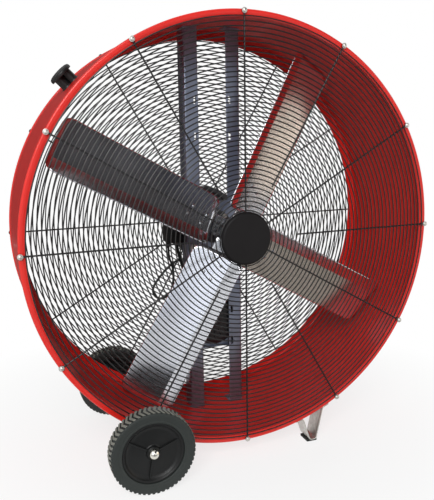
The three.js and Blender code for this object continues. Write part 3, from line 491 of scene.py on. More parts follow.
def bolt(bm, seat, out, radius, height, washer):
    """A hexagon head on a washer, standing out from its seat."""
    out = Vector(out).normalized()
    seat = Vector(seat)
    rod(bm, seat - out, seat + out * 1.2, washer, 24)
    rod(bm, seat + out * 1.1, seat + out * (height - 0.8), radius, 6)
    rod(bm, seat + out * (height - 0.81), seat + out * height, radius * 0.97, 6, radius * 0.82)


# ---------- camera and cord ----------
CAMERA_AT = (-0.6544, -1.6830, 0.9047)
CAMERA_YAW_DEG = 20.69
CAMERA_PITCH_DEG = -10.71
CAMERA_LENS = 45.55

# The lead's route in the drum's frame, in metres: it drops from the box's gland, hangs in a slack loop,
# crosses itself under its tie and runs behind the left strut to the motor's gland.
LEAD_ROUTE = [
    (-0.1290, 0.2900, -0.0626), (-0.1295, 0.2900, -0.0780), (-0.1270, 0.2900, -0.0980),
    (-0.1205, 0.2900, -0.1170), (-0.1165, 0.2900, -0.1380), (-0.1165, 0.2900, -0.1610),
    (-0.1205, 0.2900, -0.1860), (-0.1310, 0.2900, -0.2080), (-0.1495, 0.2910, -0.2200),
    (-0.1695, 0.2930, -0.2165), (-0.1800, 0.2950, -0.2005), (-0.1765, 0.2970, -0.1810),
    (-0.1640, 0.2990, -0.1640), (-0.1490, 0.3000, -0.1470), (-0.1330, 0.3005, -0.1315),
    (-0.1160, 0.3005, -0.1180), (-0.0980, 0.3005, -0.1090), (-0.0790, 0.2995, -0.1085),
    (-0.0615, 0.2970, -0.1170), (-0.0495, 0.2940, -0.1330), (-0.0440, 0.2915, -0.1540),
    (-0.0430, 0.2900, -0.1760), (-0.0430, 0.2900, -0.1960), (-0.0430, 0.2900, -0.21762),
]


class DRUMFAN_OT_camera(bpy.types.Operator):
    """Stands the camera where the fan is seen from the left of its front"""

    bl_idname = "drum_fan.camera"
    bl_label = "Camera"

    def execute(self, context):
        lens = bpy.data.cameras.new("camera")
        lens.lens = CAMERA_LENS
        camera = bpy.data.objects.new("camera", lens)
        camera.location = CAMERA_AT
        camera.rotation_euler = (math.radians(90 + CAMERA_PITCH_DEG), 0, -math.radians(CAMERA_YAW_DEG))
        context.scene.collection.objects.link(camera)
        context.scene.camera = camera
        return {"FINISHED"}


class DRUMFAN_OT_motor_lead(bpy.types.Operator):
    """Lays the rubber lead from the switch box to the motor"""

    bl_idname = "drum_fan.motor_lead"
    bl_label = "Motor lead"

    def execute(self, context):
        curve = bpy.data.curves.new("rubber_lead", "CURVE")
        curve.dimensions = "3D"
        curve.bevel_depth = LEAD_R * MM
        curve.bevel_resolution = 3
        curve.resolution_u = 8
        curve.use_fill_caps = True
        line = curve.splines.new("BEZIER")
        line.bezier_points.add(len(LEAD_ROUTE) - 1)
        for point, place in zip(line.bezier_points, LEAD_ROUTE):
            point.co = DRUM @ Vector(place)
            point.handle_left_type = point.handle_right_type = "AUTO"
        curve.materials.append(soft_rubber())
        lead = bpy.data.objects.new("rubber_lead", curve)
        context.scene.collection.objects.link(lead)
        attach(lead, "frame")
        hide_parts("motor_lead")
        return {"FINISHED"}


# ---------- drum ----------
def rim_outline(lip_r):
    """A front rim rolled from the lip over the bead to the skin, and the inner faces back to the lip."""
    centre = (BEAD_CENTRE_R, BEAD_R)
    lip_front = BEAD_R - LIP_WALL / 2
    roll = [(mix(lip_r, BEAD_CENTRE_R, i / 10), lip_front * (1 - i / 10) ** 2) for i in range(10)]
    lip_meets = math.degrees(math.asin(LIP_WALL / 2 / BEAD_R))
    outer_meets = math.degrees(math.acos((SKIN_R - BEAD_CENTRE_R) / BEAD_R))
    inner_meets = math.degrees(math.acos((SKIN_R - SKIN_WALL - BEAD_CENTRE_R) / BEAD_R))
    over = arc(centre, BEAD_R, 270, 360 + outer_meets, 12)
    under = arc(centre, BEAD_R, inner_meets, 180 - lip_meets, 5)
    return [*roll, *over], [*under, (lip_r, lip_front + LIP_WALL)]


def mirrored(points):
    return [(r, DRUM_DEPTH - y) for r, y in reversed(points)]


SEAM_DEG = 79
SEAM_R = 1.8
SEAM_END = 12
STRUT_BOLT_Y = (250, 274)
STRUT_BOLT = {"radius": 5, "height": 3.6, "washer": 7}


class DRUMFAN_OT_drum(bpy.types.Operator):
    """Rolls the drum with its beads, and adds the seam and the bolts that hold the struts"""

    bl_idname = "drum_fan.drum"
    bl_label = "Drum"

    def execute(self, context):
        front_over, front_under = rim_outline(FRONT_LIP_R)
        rear_over, rear_under = rim_outline(REAR_LIP_R)
        profile = [*front_over, *mirrored(rear_over), *mirrored(rear_under), *front_under]
        piece(lathe(profile, 240), "rolled_drum", "frame", red_paint(),
              ["drum_shell"], edge_deg=50)

        seam = bmesh.new()
        middle_r = SKIN_R - SKIN_WALL / 2
        rod(seam, polar(middle_r, SEAM_DEG, SEAM_END), polar(middle_r, SEAM_DEG, DRUM_DEPTH - SEAM_END),
            SEAM_R, 12)
        piece(seam, "drum_seam", "frame", red_paint())

        bolts = bmesh.new()
        bolt_x = (STRUT_INNER_X + STRUT_OUTER_X) / 2
        for x in (-bolt_x, bolt_x):
            for up in (-1, 1):
                for y in STRUT_BOLT_Y:
                    out = Vector((x, 0, up * math.sqrt(SKIN_R ** 2 - x ** 2))).normalized()
                    bolt(bolts, out * SKIN_R + Vector((0, y, 0)), out, **STRUT_BOLT)
        piece(bolts, "strut_bolts", "frame", zinc_plating())
        return {"FINISHED"}


# ---------- guards ----------
RING_SINK = 0.6
LONG_SPOKE_REACH = 10
EYE_WIRE_R = 2
EYE_LIFT = 2.1
PLATE_FACE = -12.6
PLATE_REAR = -4.6
PLATE_DISH = 3
PLATE_FLAT_R = 66
PLATE_SHOULDER_R = 69
PLATE_R = 72
PLATE_WALL = 2
SCREW_FLANGE_R = 7
SCREW_SHANK_R = 2.3
SCREW_SHANK_L = 8


def ring(radius, wire_r, y, steps, sides=8):
    """One wire ring round the fan's axis."""
    bm = bmesh.new()
    made = bmesh.ops.create_circle(bm, cap_ends=False, segments=sides, radius=wire_r,
                                   matrix=Matrix.Translation((radius, y, 0)))
    edges = list({e for v in made["verts"] for e in v.link_edges})
    bmesh.ops.spin(bm, geom=made["verts"] + edges, cent=(0, 0, 0), axis=(0, 1, 0), dvec=(0, 0, 0),
                   angle=2 * math.pi, steps=steps, use_merge=True, use_duplicate=False)
    return bm


def wire_guard(out, near_y, first_long_deg):
    """Rings on the outside of twelve spokes; out is -1 at the front and 1 at the back."""
    bm = bmesh.new()
    ring_r = sizes().ring_wire / MM / 2
    spoke_r = sizes().spoke_wire / MM / 2
    spoke_y = near_y + out * spoke_r
    ring_y = spoke_y + out * (spoke_r + ring_r * RING_SINK)
    count = sizes().ring_count
    pitch = (GUARD_OUTER_R - GUARD_INNER_R) / (count - 1)
    for i in range(count):
        radius = GUARD_INNER_R + i * pitch
        merge(bm, ring(radius, ring_r, ring_y, 48 + round(radius / 5)))
    for k in range(SPOKES):
        angle = k * 360 / SPOKES
        long = (angle - first_long_deg) % (720 / SPOKES) == 0
        inner = GUARD_INNER_R - LONG_SPOKE_REACH if long else SHORT_SPOKE_END
        outer = BEAD_CENTRE_R - EYE_R
        rod(bm, polar(inner, angle, spoke_y), polar(outer, angle, spoke_y), spoke_r, 10)
        eye_at = Matrix.Translation(polar(BEAD_CENTRE_R, angle, near_y + out * EYE_LIFT))
        eye = lathe(arc((EYE_R - 0.2, 0), EYE_WIRE_R, 0, 330, 11), 20)
        bmesh.ops.transform(eye, matrix=eye_at, verts=eye.verts)
        merge(bm, eye)
    return bm


def merge(bm, other):
    """Adds another drawn shape to this one."""
    mesh = bpy.data.meshes.new("merged")
    other.to_mesh(mesh)
    other.free()
    bm.from_mesh(mesh)
    bpy.data.meshes.remove(mesh)


def plate_shape():
    """A shallow dish with a flat middle, its open side to the back."""
    shoulder = PLATE_FACE + PLATE_DISH
    outline = [
        (0, PLATE_FACE), (PLATE_FLAT_R, PLATE_FACE), (PLATE_SHOULDER_R, shoulder),
        (PLATE_R, PLATE_REAR), (PLATE_R - PLATE_WALL, PLATE_REAR),
        (PLATE_SHOULDER_R - PLATE_WALL, shoulder), (PLATE_FLAT_R - 1, PLATE_FACE + PLATE_WALL),
    ]
    return lathe([*eased(outline, 2.5), (0, PLATE_FACE + PLATE_WALL)], 128)


def screw_head(out):
    """A domed screw head on a small flange, out of its seat along the Y axis."""
    outline = [
        (0, 5), (2.4, 4.85), (4.4, 4.0), (5.4, 2.7), (5.7, 1.4), (SCREW_FLANGE_R, 1.2),
        (SCREW_FLANGE_R, 0), (SCREW_SHANK_R, 0), (SCREW_SHANK_R, -SCREW_SHANK_L), (0, -SCREW_SHANK_L),
    ]
    return lathe([(r, out * y) for r, y in outline], 24)


class DRUMFAN_OT_guards(bpy.types.Operator):
    """Welds the front and the rear wire guard"""

    bl_idname = "drum_fan.guards"
    bl_label = "Wire guards"

    def execute(self, context):
        piece(wire_guard(-1, -FIT, 30), "front_wire_guard", "frame", wire_coating(),
              ["front_guard"])
        piece(wire_guard(1, DRUM_DEPTH + FIT, 0), "rear_wire_guard", "frame", wire_coating(),
              ["rear_guard"])
        return {"FINISHED"}


class DRUMFAN_OT_centre_plate(bpy.types.Operator):
    """Presses the dished plate over the middle of the front guard"""

    bl_idname = "drum_fan.centre_plate"
    bl_label = "Centre plate"

    def execute(self, context):
        piece(plate_shape(), "centre_plate", "frame", black_paint(),
              ["guard_centre_plate"])
        return {"FINISHED"}


class DRUMFAN_OT_guard_screws(bpy.types.Operator):
    """Sets the domed screws of both guards"""

    bl_idname = "drum_fan.guard_screws"
    bl_label = "Guard screws"

    def execute(self, context):
        for i in range(SPOKES):
            angle = i * 360 / SPOKES
            front = polar(BEAD_CENTRE_R, angle, -SCREW_SEAT) * MM
            rear = polar(BEAD_CENTRE_R, angle, DRUM_DEPTH + SCREW_SEAT) * MM
            piece(screw_head(-1), f"front_screw_{i + 1:02d}", "frame", zinc_plating(),
                  [f"guard_screw_{i + 1:02d}"], DRUM @ Matrix.Translation(front))
            piece(screw_head(1), f"rear_screw_{i + 1:02d}", "frame", zinc_plating(),
                  matrix=DRUM @ Matrix.Translation(rear))
        return {"FINISHED"}


# ---------- blades, hub and shaft ----------
BLADE_CHORD_TIP = 158
BLADE_PITCH_ROOT_DEG = 26.6
BLADE_PITCH_TIP_DEG = 22.9
BLADE_SETBACK_ROOT = 91.4
BLADE_SETBACK_TIP = 121.8
BLADE_OFFSET = -6
BLADE_BULGE = 10
BLADE_CREASE = 0.75
BLADE_CORNER_R = 26
BLADE_COLUMNS = 36
BLADE_ROWS = 48
# where each rivet is: its radius, and its share of the blade's chord
RIVETS = [(143, 0.56), (131, 0.38), (97, 0.62), (86, 0.42)]
RIVET_SEAT = -1.2
RIVET_RIM_H = 1.2
RIVET_H = 2.4
ARM_WALL = 5
ARM_ROOT = HUB_R * 0.8
ARM_TIP = 150
ARM_SHARES = (0.3, 0.66)
ARM_TAPER = 0.05
ARM_GAP = 1.55
ARM_RIB_WALL = 4
ARM_RIB_SEAT = 3 + ARM_WALL
ARM_RIB_ROOT_H = 16
ARM_RIB_TIP_H = 3
ARM_RIB_SHORTER = 12
SHAFT_FRONT = 60
SHAFT_REAR = 360


def blade_point(s, u, rise=0.0):
    """s runs along the radius, and u across from the leading edge behind to the trailing edge in front."""
    along = (s - BLADE_ROOT) / (BLADE_TIP - BLADE_ROOT)
    chord = mix(BLADE_CHORD_ROOT, BLADE_CHORD_TIP, along)
    pitch = math.radians(mix(BLADE_PITCH_ROOT_DEG, BLADE_PITCH_TIP_DEG, along))
    setback = mix(BLADE_SETBACK_ROOT, BLADE_SETBACK_TIP, along)
    if u < BLADE_CREASE:
        bow = math.sin(math.pi / 2 * u / BLADE_CREASE)
    else:
        bow = (1 - u) / (1 - BLADE_CREASE)
    across = (u - 0.5) * chord
    out = rise + BLADE_BULGE * bow
    return Vector((
        s,
        setback - across * math.sin(pitch) + out * math.cos(pitch),
        BLADE_OFFSET + across * math.cos(pitch) + out * math.sin(pitch),
    ))


def corner_cut(u):
    """How far a round corner shortens the blade at this share of its chord."""
    edge = min(u, 1 - u) * BLADE_CHORD_ROOT
    if edge >= BLADE_CORNER_R:
        return 0.0
    return BLADE_CORNER_R - math.sqrt(BLADE_CORNER_R ** 2 - (BLADE_CORNER_R - edge) ** 2)


def blade_shape():
    bm = bmesh.new()
    bm.loops.layers.uv.new("sheet")

    def on_blade(i, j):
        u = j / BLADE_ROWS
        cut = corner_cut(u)
        return blade_point(mix(BLADE_ROOT + cut, BLADE_TIP - cut, i / BLADE_COLUMNS), u)

    sheet(bm, BLADE_COLUMNS, BLADE_ROWS, on_blade)
    return bm


def turned_to(degrees):
    """The drum's frame turned counter-clockwise, seen from the front."""
    return DRUM @ Matrix.Rotation(-math.radians(degrees), 4, "Y")


def hub_shape():
    bore_r = SHAFT_R + FIT
    outline = [(bore_r, HUB_FRONT), (HUB_R, HUB_FRONT), (HUB_R, HUB_REAR), (bore_r, HUB_REAR)]
    return lathe(eased(outline, 2.5, closed=True), 64)


def arm_shape():
    """The arm behind one blade: a plate that follows the blade."""
    bm = bmesh.new()
    low, high = ARM_SHARES

    def on_plate(i, j):
        narrowing = ARM_TAPER * (i / 10) ** 2
        share = mix(low + narrowing, high - narrowing, j / 8)
        return blade_point(mix(ARM_ROOT, ARM_TIP, i / 10), share, ARM_GAP + ARM_WALL / 2)

    sheet(bm, 10, 8, on_plate)
    return bm


def arm_rib_shape():
    """The rib down the middle of an arm, lower towards its tip."""
    bm = bmesh.new()
    centre = sum(ARM_SHARES) / 2

    def on_rib(i, j):
        height = mix(ARM_RIB_ROOT_H, ARM_RIB_TIP_H, i / 10)
        along = mix(ARM_ROOT, ARM_TIP - ARM_RIB_SHORTER, i / 10)
        return blade_point(along, centre, ARM_RIB_SEAT + height * j)

    sheet(bm, 10, 1, on_rib)
    return bm


def add_rivets(bm, turn):
    """The rivets of one blade, their heads on its front."""
    for s, u in RIVETS:
        seat = blade_point(s, u, RIVET_SEAT)
        out = (blade_point(s, u, RIVET_SEAT - 0.8) - seat).normalized()
        rod(bm, turn @ (seat - out), turn @ (seat + out * RIVET_RIM_H), 4.6, 16)
        rod(bm, turn @ (seat + out * (RIVET_RIM_H - 0.01)), turn @ (seat + out * RIVET_H), 4.4, 16, 2.2)


class DRUMFAN_OT_blades(bpy.types.Operator):
    """Folds the four creased blades, with the arms behind them and their rivets"""

    bl_idname = "drum_fan.blades"
    bl_label = "Blades and arms"

    def execute(self, context):
        rivets = bmesh.new()
        for i in range(4):
            angle = BLADE_PHASE + 90 * i
            place = turned_to(angle)
            piece(blade_shape(), f"creased_blade_{i + 1}", "fan", blade_aluminium(),
                  [f"fan_blade_{i + 1}"], place, edge_deg=12,
                  sheet_mm=sizes().blade_sheet / MM)
            piece(arm_shape(), f"hub_arm_{i + 1}", "fan", turned_steel(),
                  matrix=place, sheet_mm=ARM_WALL, bevel_mm=1)
            piece(arm_rib_shape(), f"hub_arm_rib_{i + 1}", "fan", turned_steel(),
                  matrix=place, sheet_mm=ARM_RIB_WALL, bevel_mm=0.8)
            add_rivets(rivets, Matrix.Rotation(-math.radians(angle), 4, "Y"))
        piece(rivets, "blade_rivets", "fan", turned_steel())
        return {"FINISHED"}


class DRUMFAN_OT_hub(bpy.types.Operator):
    """Turns the hub that carries the blades' arms"""

    bl_idname = "drum_fan.hub"
    bl_label = "Hub"

    def execute(self, context):
        piece(hub_shape(), "turned_hub", "fan", cast_iron(), ["fan_hub"])
        return {"FINISHED"}


class DRUMFAN_OT_shaft(bpy.types.Operator):
    """Turns the fan's shaft"""

    bl_idname = "drum_fan.shaft"
    bl_label = "Shaft"

    def execute(self, context):
        outline = [(0, SHAFT_FRONT), (SHAFT_R, SHAFT_FRONT), (SHAFT_R, SHAFT_REAR), (0, SHAFT_REAR)]
        piece(lathe(eased(outline, 1.5), 48), "turned_shaft", "fan", turned_steel(),
              ["fan_shaft"])
        return {"FINISHED"}


# ---------- struts and bearings ----------
STRUT_BEND_R = 6
SLOT_HALF_W = 3.5
SLOT_HALF_L = 11
SLOT_X = 53
SLOT_HEIGHTS = (264, 367)
CARRIER_WALL = 4
CARRIER_REAR = STRUT_FRONT - FIT
CARRIER_FRONT = CARRIER_REAR - CARRIER_WALL
CARRIER_HALF_H = 75
CARRIER_BOLT_AT = (68, 60)
CARRIER_BOLT = {"radius": 7, "height": 5.5, "washer": 10}
BEARING_SEAT_R = 26.3
BEARING_SEAT_L = 15.6
HOUSING_BORE_R = 22
HOUSING_R = 31
HOUSING_FRONT = 206
HOUSING_REAR = 324
FLANGE_R = 50
FLANGE_FRONT = 226.4
FLANGE_REAR = 232.4
FLANGE_FILLET = (3, 2.4)
FLANGE_BOLT_AT = 29.5
FLANGE_BOLT = {"radius": 5, "height": 4, "washer": 7}


def strut_shape(side):
    """An upright angle with a round bend and slots, and the curved tabs at its ends."""
    bm = bmesh.new()
    web = STRUT_FRONT + STRUT_WALL / 2
    flange = STRUT_OUTER_X - STRUT_WALL / 2
    bend_at = (flange - STRUT_BEND_R, web + STRUT_BEND_R)
    line = [
        (STRUT_INNER_X, web), (SLOT_X - SLOT_HALF_W, web), (SLOT_X + SLOT_HALF_W, web),
        *arc(bend_at, STRUT_BEND_R, -90, 0, 6), (flange, STRUT_REAR),
    ]
    upper = [z + k * SLOT_HALF_L for z in SLOT_HEIGHTS for k in (-1, 1)]
    heights = [-z for z in reversed(upper)] + upper
    reach = SKIN_R - SKIN_WALL - FIT

    def on_angle(i, j):
        x, y = line[i]
        end = math.sqrt(reach ** 2 - x ** 2)
        z = (-end, *heights, end)[j]
        return Vector((side * x, y, z))

    sheet(bm, len(line) - 1, len(heights) + 1, on_angle)
    in_slot = [
        f for f in bm.faces
        if abs(abs(f.calc_center_median().x) - SLOT_X) < SLOT_HALF_W
        and any(abs(abs(f.calc_center_median().z) - z) < SLOT_HALF_L for z in SLOT_HEIGHTS)
    ]
    bmesh.ops.delete(bm, geom=in_slot, context="FACES")
    for up in (-1, 1):
        def on_tab(i, j, up=up):
            x = mix(STRUT_INNER_X, STRUT_OUTER_X, i / 4)
            tab_r = reach - STRUT_WALL / 2
            return Vector((side * x, mix(STRUT_FRONT, STRUT_REAR, j), up * math.sqrt(tab_r ** 2 - x ** 2)))

        sheet(bm, 4, 1, on_tab)
    return bm


def housing_shape():
    """A tube with a bearing's seat in each end, and a flange that bolts to the plate."""
    wider, longer = FLANGE_FILLET
    front_seat = HOUSING_FRONT + BEARING_SEAT_L
    rear_seat = HOUSING_REAR - BEARING_SEAT_L
    outline = [
        (BEARING_SEAT_R, HOUSING_FRONT), (HOUSING_R, HOUSING_FRONT), (HOUSING_R, FLANGE_FRONT - longer),
        (HOUSING_R + wider, FLANGE_FRONT), (FLANGE_R, FLANGE_FRONT), (FLANGE_R, FLANGE_REAR),
        (HOUSING_R, FLANGE_REAR), (HOUSING_R, HOUSING_REAR), (BEARING_SEAT_R, HOUSING_REAR),
        (BEARING_SEAT_R, rear_seat), (HOUSING_BORE_R, rear_seat), (HOUSING_BORE_R, front_seat),
        (BEARING_SEAT_R, front_seat),
    ]
    return lathe(eased(outline, 1.5, closed=True), 64)


class DRUMFAN_OT_struts(bpy.types.Operator):
    """Bends the two upright angles that carry the fan and the motor"""

    bl_idname = "drum_fan.struts"
    bl_label = "Struts"

    def execute(self, context):
        for side, name in ((-1, "left"), (1, "right")):
            piece(strut_shape(side), f"{name}_angle", "frame", grey_paint(),
                  [f"{name}_strut"], sheet_mm=STRUT_WALL, bevel_mm=0.7)
        return {"FINISHED"}


class DRUMFAN_OT_bearing_carrier(bpy.types.Operator):
    """Makes the plate between the struts, and the bearing housing bolted to it"""

    bl_idname = "drum_fan.bearing_carrier"
    bl_label = "Bearing carrier"

    def execute(self, context):
        plate = bmesh.new()
        block(plate, (-STRUT_OUTER_X, CARRIER_FRONT, -CARRIER_HALF_H),
              (STRUT_OUTER_X, CARRIER_REAR, CARRIER_HALF_H), 1)
        piece(plate, "carrier_plate", "frame", grey_paint(), ["bearing_plate"])
        piece(housing_shape(), "turned_housing", "frame", cast_iron(),
              ["bearing_housing"])
        bolts = bmesh.new()
        forward = (0, -1, 0)
        bolt_x, bolt_z = CARRIER_BOLT_AT
        for x in (-1, 1):
            for z in (-1, 1):
                bolt(bolts, (x * bolt_x, CARRIER_FRONT, z * bolt_z), forward, **CARRIER_BOLT)
                bolt(bolts, (x * FLANGE_BOLT_AT, FLANGE_FRONT, z * FLANGE_BOLT_AT), forward, **FLANGE_BOLT)
        piece(bolts, "housing_bolts", "frame", zinc_plating())
        keep(turned_steel(), "shaft_steel", "front_bearing", "rear_bearing")
        return {"FINISHED"}


# ---------- belt drive ----------
MOTOR_BORE_R = 8.3
DRIVEN_HUB_R = 24
MOTOR_HUB_R = 26


def pulley_shape(pitch_r, bore_r, hub_r):
    """A grooved wheel on the Y axis, and where it is large enough, a web from its hub to its rim."""
    outer = pitch_r + 6
    groove = pitch_r - 4.3
    half = 6.8
    rim_r = groove - 5
    web = 3
    edge = PULLEY_W / 2
    open_web = rim_r > hub_r + 5
    rear = [(rim_r, edge), (rim_r - 2, web), (hub_r + 2, web), (hub_r, edge)] if open_web else []
    front = [(r, -y) for r, y in reversed(rear)]
    outline = [(bore_r, -edge), *front, (outer, -edge), (outer, -half), (groove, 2 - half),
               (groove, half - 2), (outer, half), (outer, edge), *rear, (bore_r, edge)]
    return lathe(eased(outline, 1, closed=True, steps=2), 96)


def belt_line(offset):
    """The belt's loop round both pulleys at this distance from its middle line."""
    lean = math.degrees(math.asin((DRIVEN_PITCH_R - MOTOR_PITCH_R) / MOTOR_DROP))
    top = arc((0, 0), DRIVEN_PITCH_R + offset, -lean, 180 + lean, 48)
    low = arc((0, -MOTOR_DROP), MOTOR_PITCH_R + offset, 180 + lean, 360 - lean, 24)
    return top + low


def belt_shape():
    bm = bmesh.new()
    mid = PULLEY_FRONT + PULLEY_W / 2
    section = [(3.6, -6.5), (4, -6), (4, 6), (3.6, 6.5), (-4, 4.8), (-4, -4.8)]
    loops = []
    for offset, y in section:
        verts = [bm.verts.new((x, mid + y, z)) for x, z in belt_line(offset)]
        loops.append([bm.edges.new(pair) for pair in zip(verts, verts[1:] + verts[:1])])
    for one, other in zip(loops, loops[1:] + loops[:1]):
        bmesh.ops.bridge_loops(bm, edges=one + other)
    return bm


class DRUMFAN_OT_belt_drive(bpy.types.Operator):
    """Turns the two pulleys and loops the belt round them"""

    bl_idname = "drum_fan.belt_drive"
    bl_label = "Belt drive"

    def execute(self, context):
        mid = PULLEY_FRONT + PULLEY_W / 2
        upper = DRUM @ Matrix.Translation(Vector((0, mid, 0)) * MM)
        lower = DRUM @ Matrix.Translation(Vector((0, mid, -MOTOR_DROP)) * MM)
        piece(pulley_shape(DRIVEN_PITCH_R, SHAFT_R + FIT, DRIVEN_HUB_R), "large_pulley", "fan",
              cast_iron(), ["driven_pulley"], upper)
        piece(pulley_shape(MOTOR_PITCH_R, MOTOR_BORE_R, MOTOR_HUB_R), "small_pulley", "rotor",
              cast_iron(), ["motor_pulley"], lower)
        piece(belt_shape(), "belt_loop", "frame", soft_rubber(), ["drive_belt"],
              edge_deg=40)
        return {"FINISHED"}


# ---------- motor ----------
MOTOR_INNER_R = 75
MOTOR_GROOVE = 1.2
BUSH_R = 15
LOUVRES = 16
LOUVRE_INNER_R = 30
LOUVRE_OUTER_R = 54
MOUNT_BOLT_Y = (265, 305)
MOUNT_BOLT_DROP = 30
MOUNT_BOLT = {"radius": 6, "height": 4.5, "washer": 9}
MOTOR = DRUM @ Matrix.Translation(Vector((0, 0, -MOTOR_DROP)) * MM)


def bell_shape(face, seat):
    """A domed end bell with a bush; face is its outer side."""
    out = math.copysign(1, face - seat)
    outline = [
        (MOTOR_BORE_R, face), (BUSH_R, face), (19, face - out * 3), (64, face - out * 4),
        (MOTOR_R, seat + out * 4), (MOTOR_R, seat), (MOTOR_INNER_R, seat), (62.4, face - out * 7),
        (BUSH_R, face - out * 6), (BUSH_R, seat), (MOTOR_BORE_R, seat),
    ]
    return lathe(eased(outline, 3, closed=True), 72)


def casing_shape():
    """The motor's tube, with a shallow groove near each end."""
    front, rear = MOTOR_FRONT + BELL_W + FIT, MOTOR_REAR - BELL_W - FIT
    groove_r = MOTOR_R - MOTOR_GROOVE
    outline = [
        (MOTOR_INNER_R, front), (MOTOR_R, front), (MOTOR_R, front + 6), (groove_r, front + 8),
        (MOTOR_R, front + 10), (MOTOR_R, rear - 10), (groove_r, rear - 8), (MOTOR_R, rear - 6),
        (MOTOR_R, rear), (MOTOR_INNER_R, rear),
    ]
    return lathe(outline, 96)


def vents(bm, face, out):
    """Raised louvres round an end bell."""
    for k in range(LOUVRES):
        angle = k * 360 / LOUVRES
        start = polar(LOUVRE_INNER_R, angle, face - out * 3.6)
        end = polar(LOUVRE_OUTER_R, angle, face - out * 3.8)
        rod(bm, start, end, 2.2, 10, 2.8)


class DRUMFAN_OT_motor(bpy.types.Operator):
    """Makes the motor's casing, end bells and louvres"""

    bl_idname = "drum_fan.motor"
    bl_label = "Motor"

    def execute(self, context):
        paint = motor_paint()
        piece(casing_shape(), "motor_casing", "frame", paint, ["motor_shell"], MOTOR)
        piece(bell_shape(MOTOR_FRONT, MOTOR_FRONT + BELL_W), "front_end_bell", "frame", paint,
              ["motor_front_bell"], MOTOR)
        piece(bell_shape(MOTOR_REAR, MOTOR_REAR - BELL_W), "rear_end_bell", "frame", paint,
              ["motor_rear_bell"], MOTOR)
        louvres = bmesh.new()
        vents(louvres, MOTOR_FRONT, -1)
        vents(louvres, MOTOR_REAR, 1)
        piece(louvres, "motor_louvres", "frame", paint, matrix=MOTOR)
        keep(winding_copper(), "winding_copper", "motor_stator")
        keep(turned_steel(), "shaft_steel", "motor_rotor")
        return {"FINISHED"}


class DRUMFAN_OT_motor_mount(bpy.types.Operator):
    """Paints the motor's mount and bolts it to the struts"""

    bl_idname = "drum_fan.motor_mount"
    bl_label = "Motor mount"

    def execute(self, context):
        bolts = bmesh.new()
        for x in (-1, 1):
            for y in MOUNT_BOLT_Y:
                seat = (x * STRUT_OUTER_X, y, -MOTOR_DROP - MOUNT_BOLT_DROP)
                bolt(bolts, seat, (x, 0, 0), **MOUNT_BOLT)
        piece(bolts, "mount_bolts", "frame", zinc_plating())
        keep(grey_paint(), "grey_paint", "motor_mount")
        return {"FINISHED"}


# ---------- switch box, knob and glands ----------
LID_WALL = 2
LID_SCREW_INSET = 6
KNOB_X = -124
KNOB_Z = 36
KNOB_FACE = DRUM_DEPTH + FIT + 9
KNOB_STEM_R = 3.5
KNOB_STEM_START = 296
KNOB_GRIP_END = KNOB_FACE + 16
KNOB_GRIP_HALF_L = 16
KNOB_GRIP_HALF_W = 3
LEAD_IN_X = -129
LEAD_OUT_X = -43
MAINS_X = -108


def gland_shape(height):
    """A six-sided gland nut with a round, tapered nose for the lead, upright on z = 0."""
    bm = bmesh.new()
    rod(bm, (0, 0, 0), (0, 0, height * 0.45), GLAND_R, 6)
    rod(bm, (0, 0, height * 0.44), (0, 0, height * 0.8), GLAND_R * 0.85, 24)
    rod(bm, (0, 0, height * 0.79), (0, 0, height), GLAND_R * 0.85, 24, GLAND_R * 0.6)
    return bm


class DRUMFAN_OT_switch_box(bpy.types.Operator):
    """Makes the switch's case, with its lid and screws"""

    bl_idname = "drum_fan.switch_box"
    bl_label = "Switch box"

    def execute(self, context):
        case = bmesh.new()
        block(case, (BOX_LEFT, BOX_FRONT, -BOX_HALF_H), (BOX_RIGHT, BOX_REAR, BOX_HALF_H), 3)
        piece(case, "switch_case", "frame", black_plastic(),
              ["switch_box", "speed_switch"])
        lid = bmesh.new()
        lid_front = BOX_REAR + FIT
        block(lid, (BOX_LEFT, lid_front, -BOX_HALF_H), (BOX_RIGHT, lid_front + LID_WALL, BOX_HALF_H), 0.8)
        piece(lid, "switch_lid", "frame", black_plastic(), ["switch_box_cover"])
        screws = bmesh.new()
        for x in (BOX_LEFT + LID_SCREW_INSET, BOX_RIGHT - LID_SCREW_INSET):
            for z in (LID_SCREW_INSET - BOX_HALF_H, BOX_HALF_H - LID_SCREW_INSET):
                rod(screws, (x, BOX_REAR + 2, z), (x, BOX_REAR + 3.2, z), 3, 20)
                rod(screws, (x, BOX_REAR + 3.19, z), (x, BOX_REAR + 4, z), 2.9, 20, 1.6)
        piece(screws, "lid_screws", "frame", zinc_plating())
        return {"FINISHED"}


class DRUMFAN_OT_switch_knob(bpy.types.Operator):
    """Makes the ribbed knob with its pointer"""

    bl_idname = "drum_fan.switch_knob"
    bl_label = "Switch knob"

    def execute(self, context):
        place = DRUM @ Matrix.Translation(Vector((KNOB_X, 0, KNOB_Z)) * MM)
        skirt = [
            (0, KNOB_STEM_START), (KNOB_STEM_R, KNOB_STEM_START), (KNOB_STEM_R, KNOB_FACE),
            (18, KNOB_FACE), (17.4, KNOB_FACE + 4), (15.5, KNOB_FACE + 8), (0, KNOB_FACE + 8),
        ]
        knob = lathe(eased(skirt, 1.2), 48)
        block(knob, (-KNOB_GRIP_HALF_W, KNOB_FACE + 1, -KNOB_GRIP_HALF_L),
              (KNOB_GRIP_HALF_W, KNOB_GRIP_END, KNOB_GRIP_HALF_L), 1)
        piece(knob, "ribbed_knob", "knob", black_plastic(), ["switch_knob"], place)
        pointer = bmesh.new()
        block(pointer, (-0.8, KNOB_GRIP_END - 0.1, 6), (0.8, KNOB_GRIP_END, KNOB_GRIP_HALF_L - 1))
        piece(pointer, "knob_pointer", "knob", zinc_plating(), matrix=place)
        return {"FINISHED"}


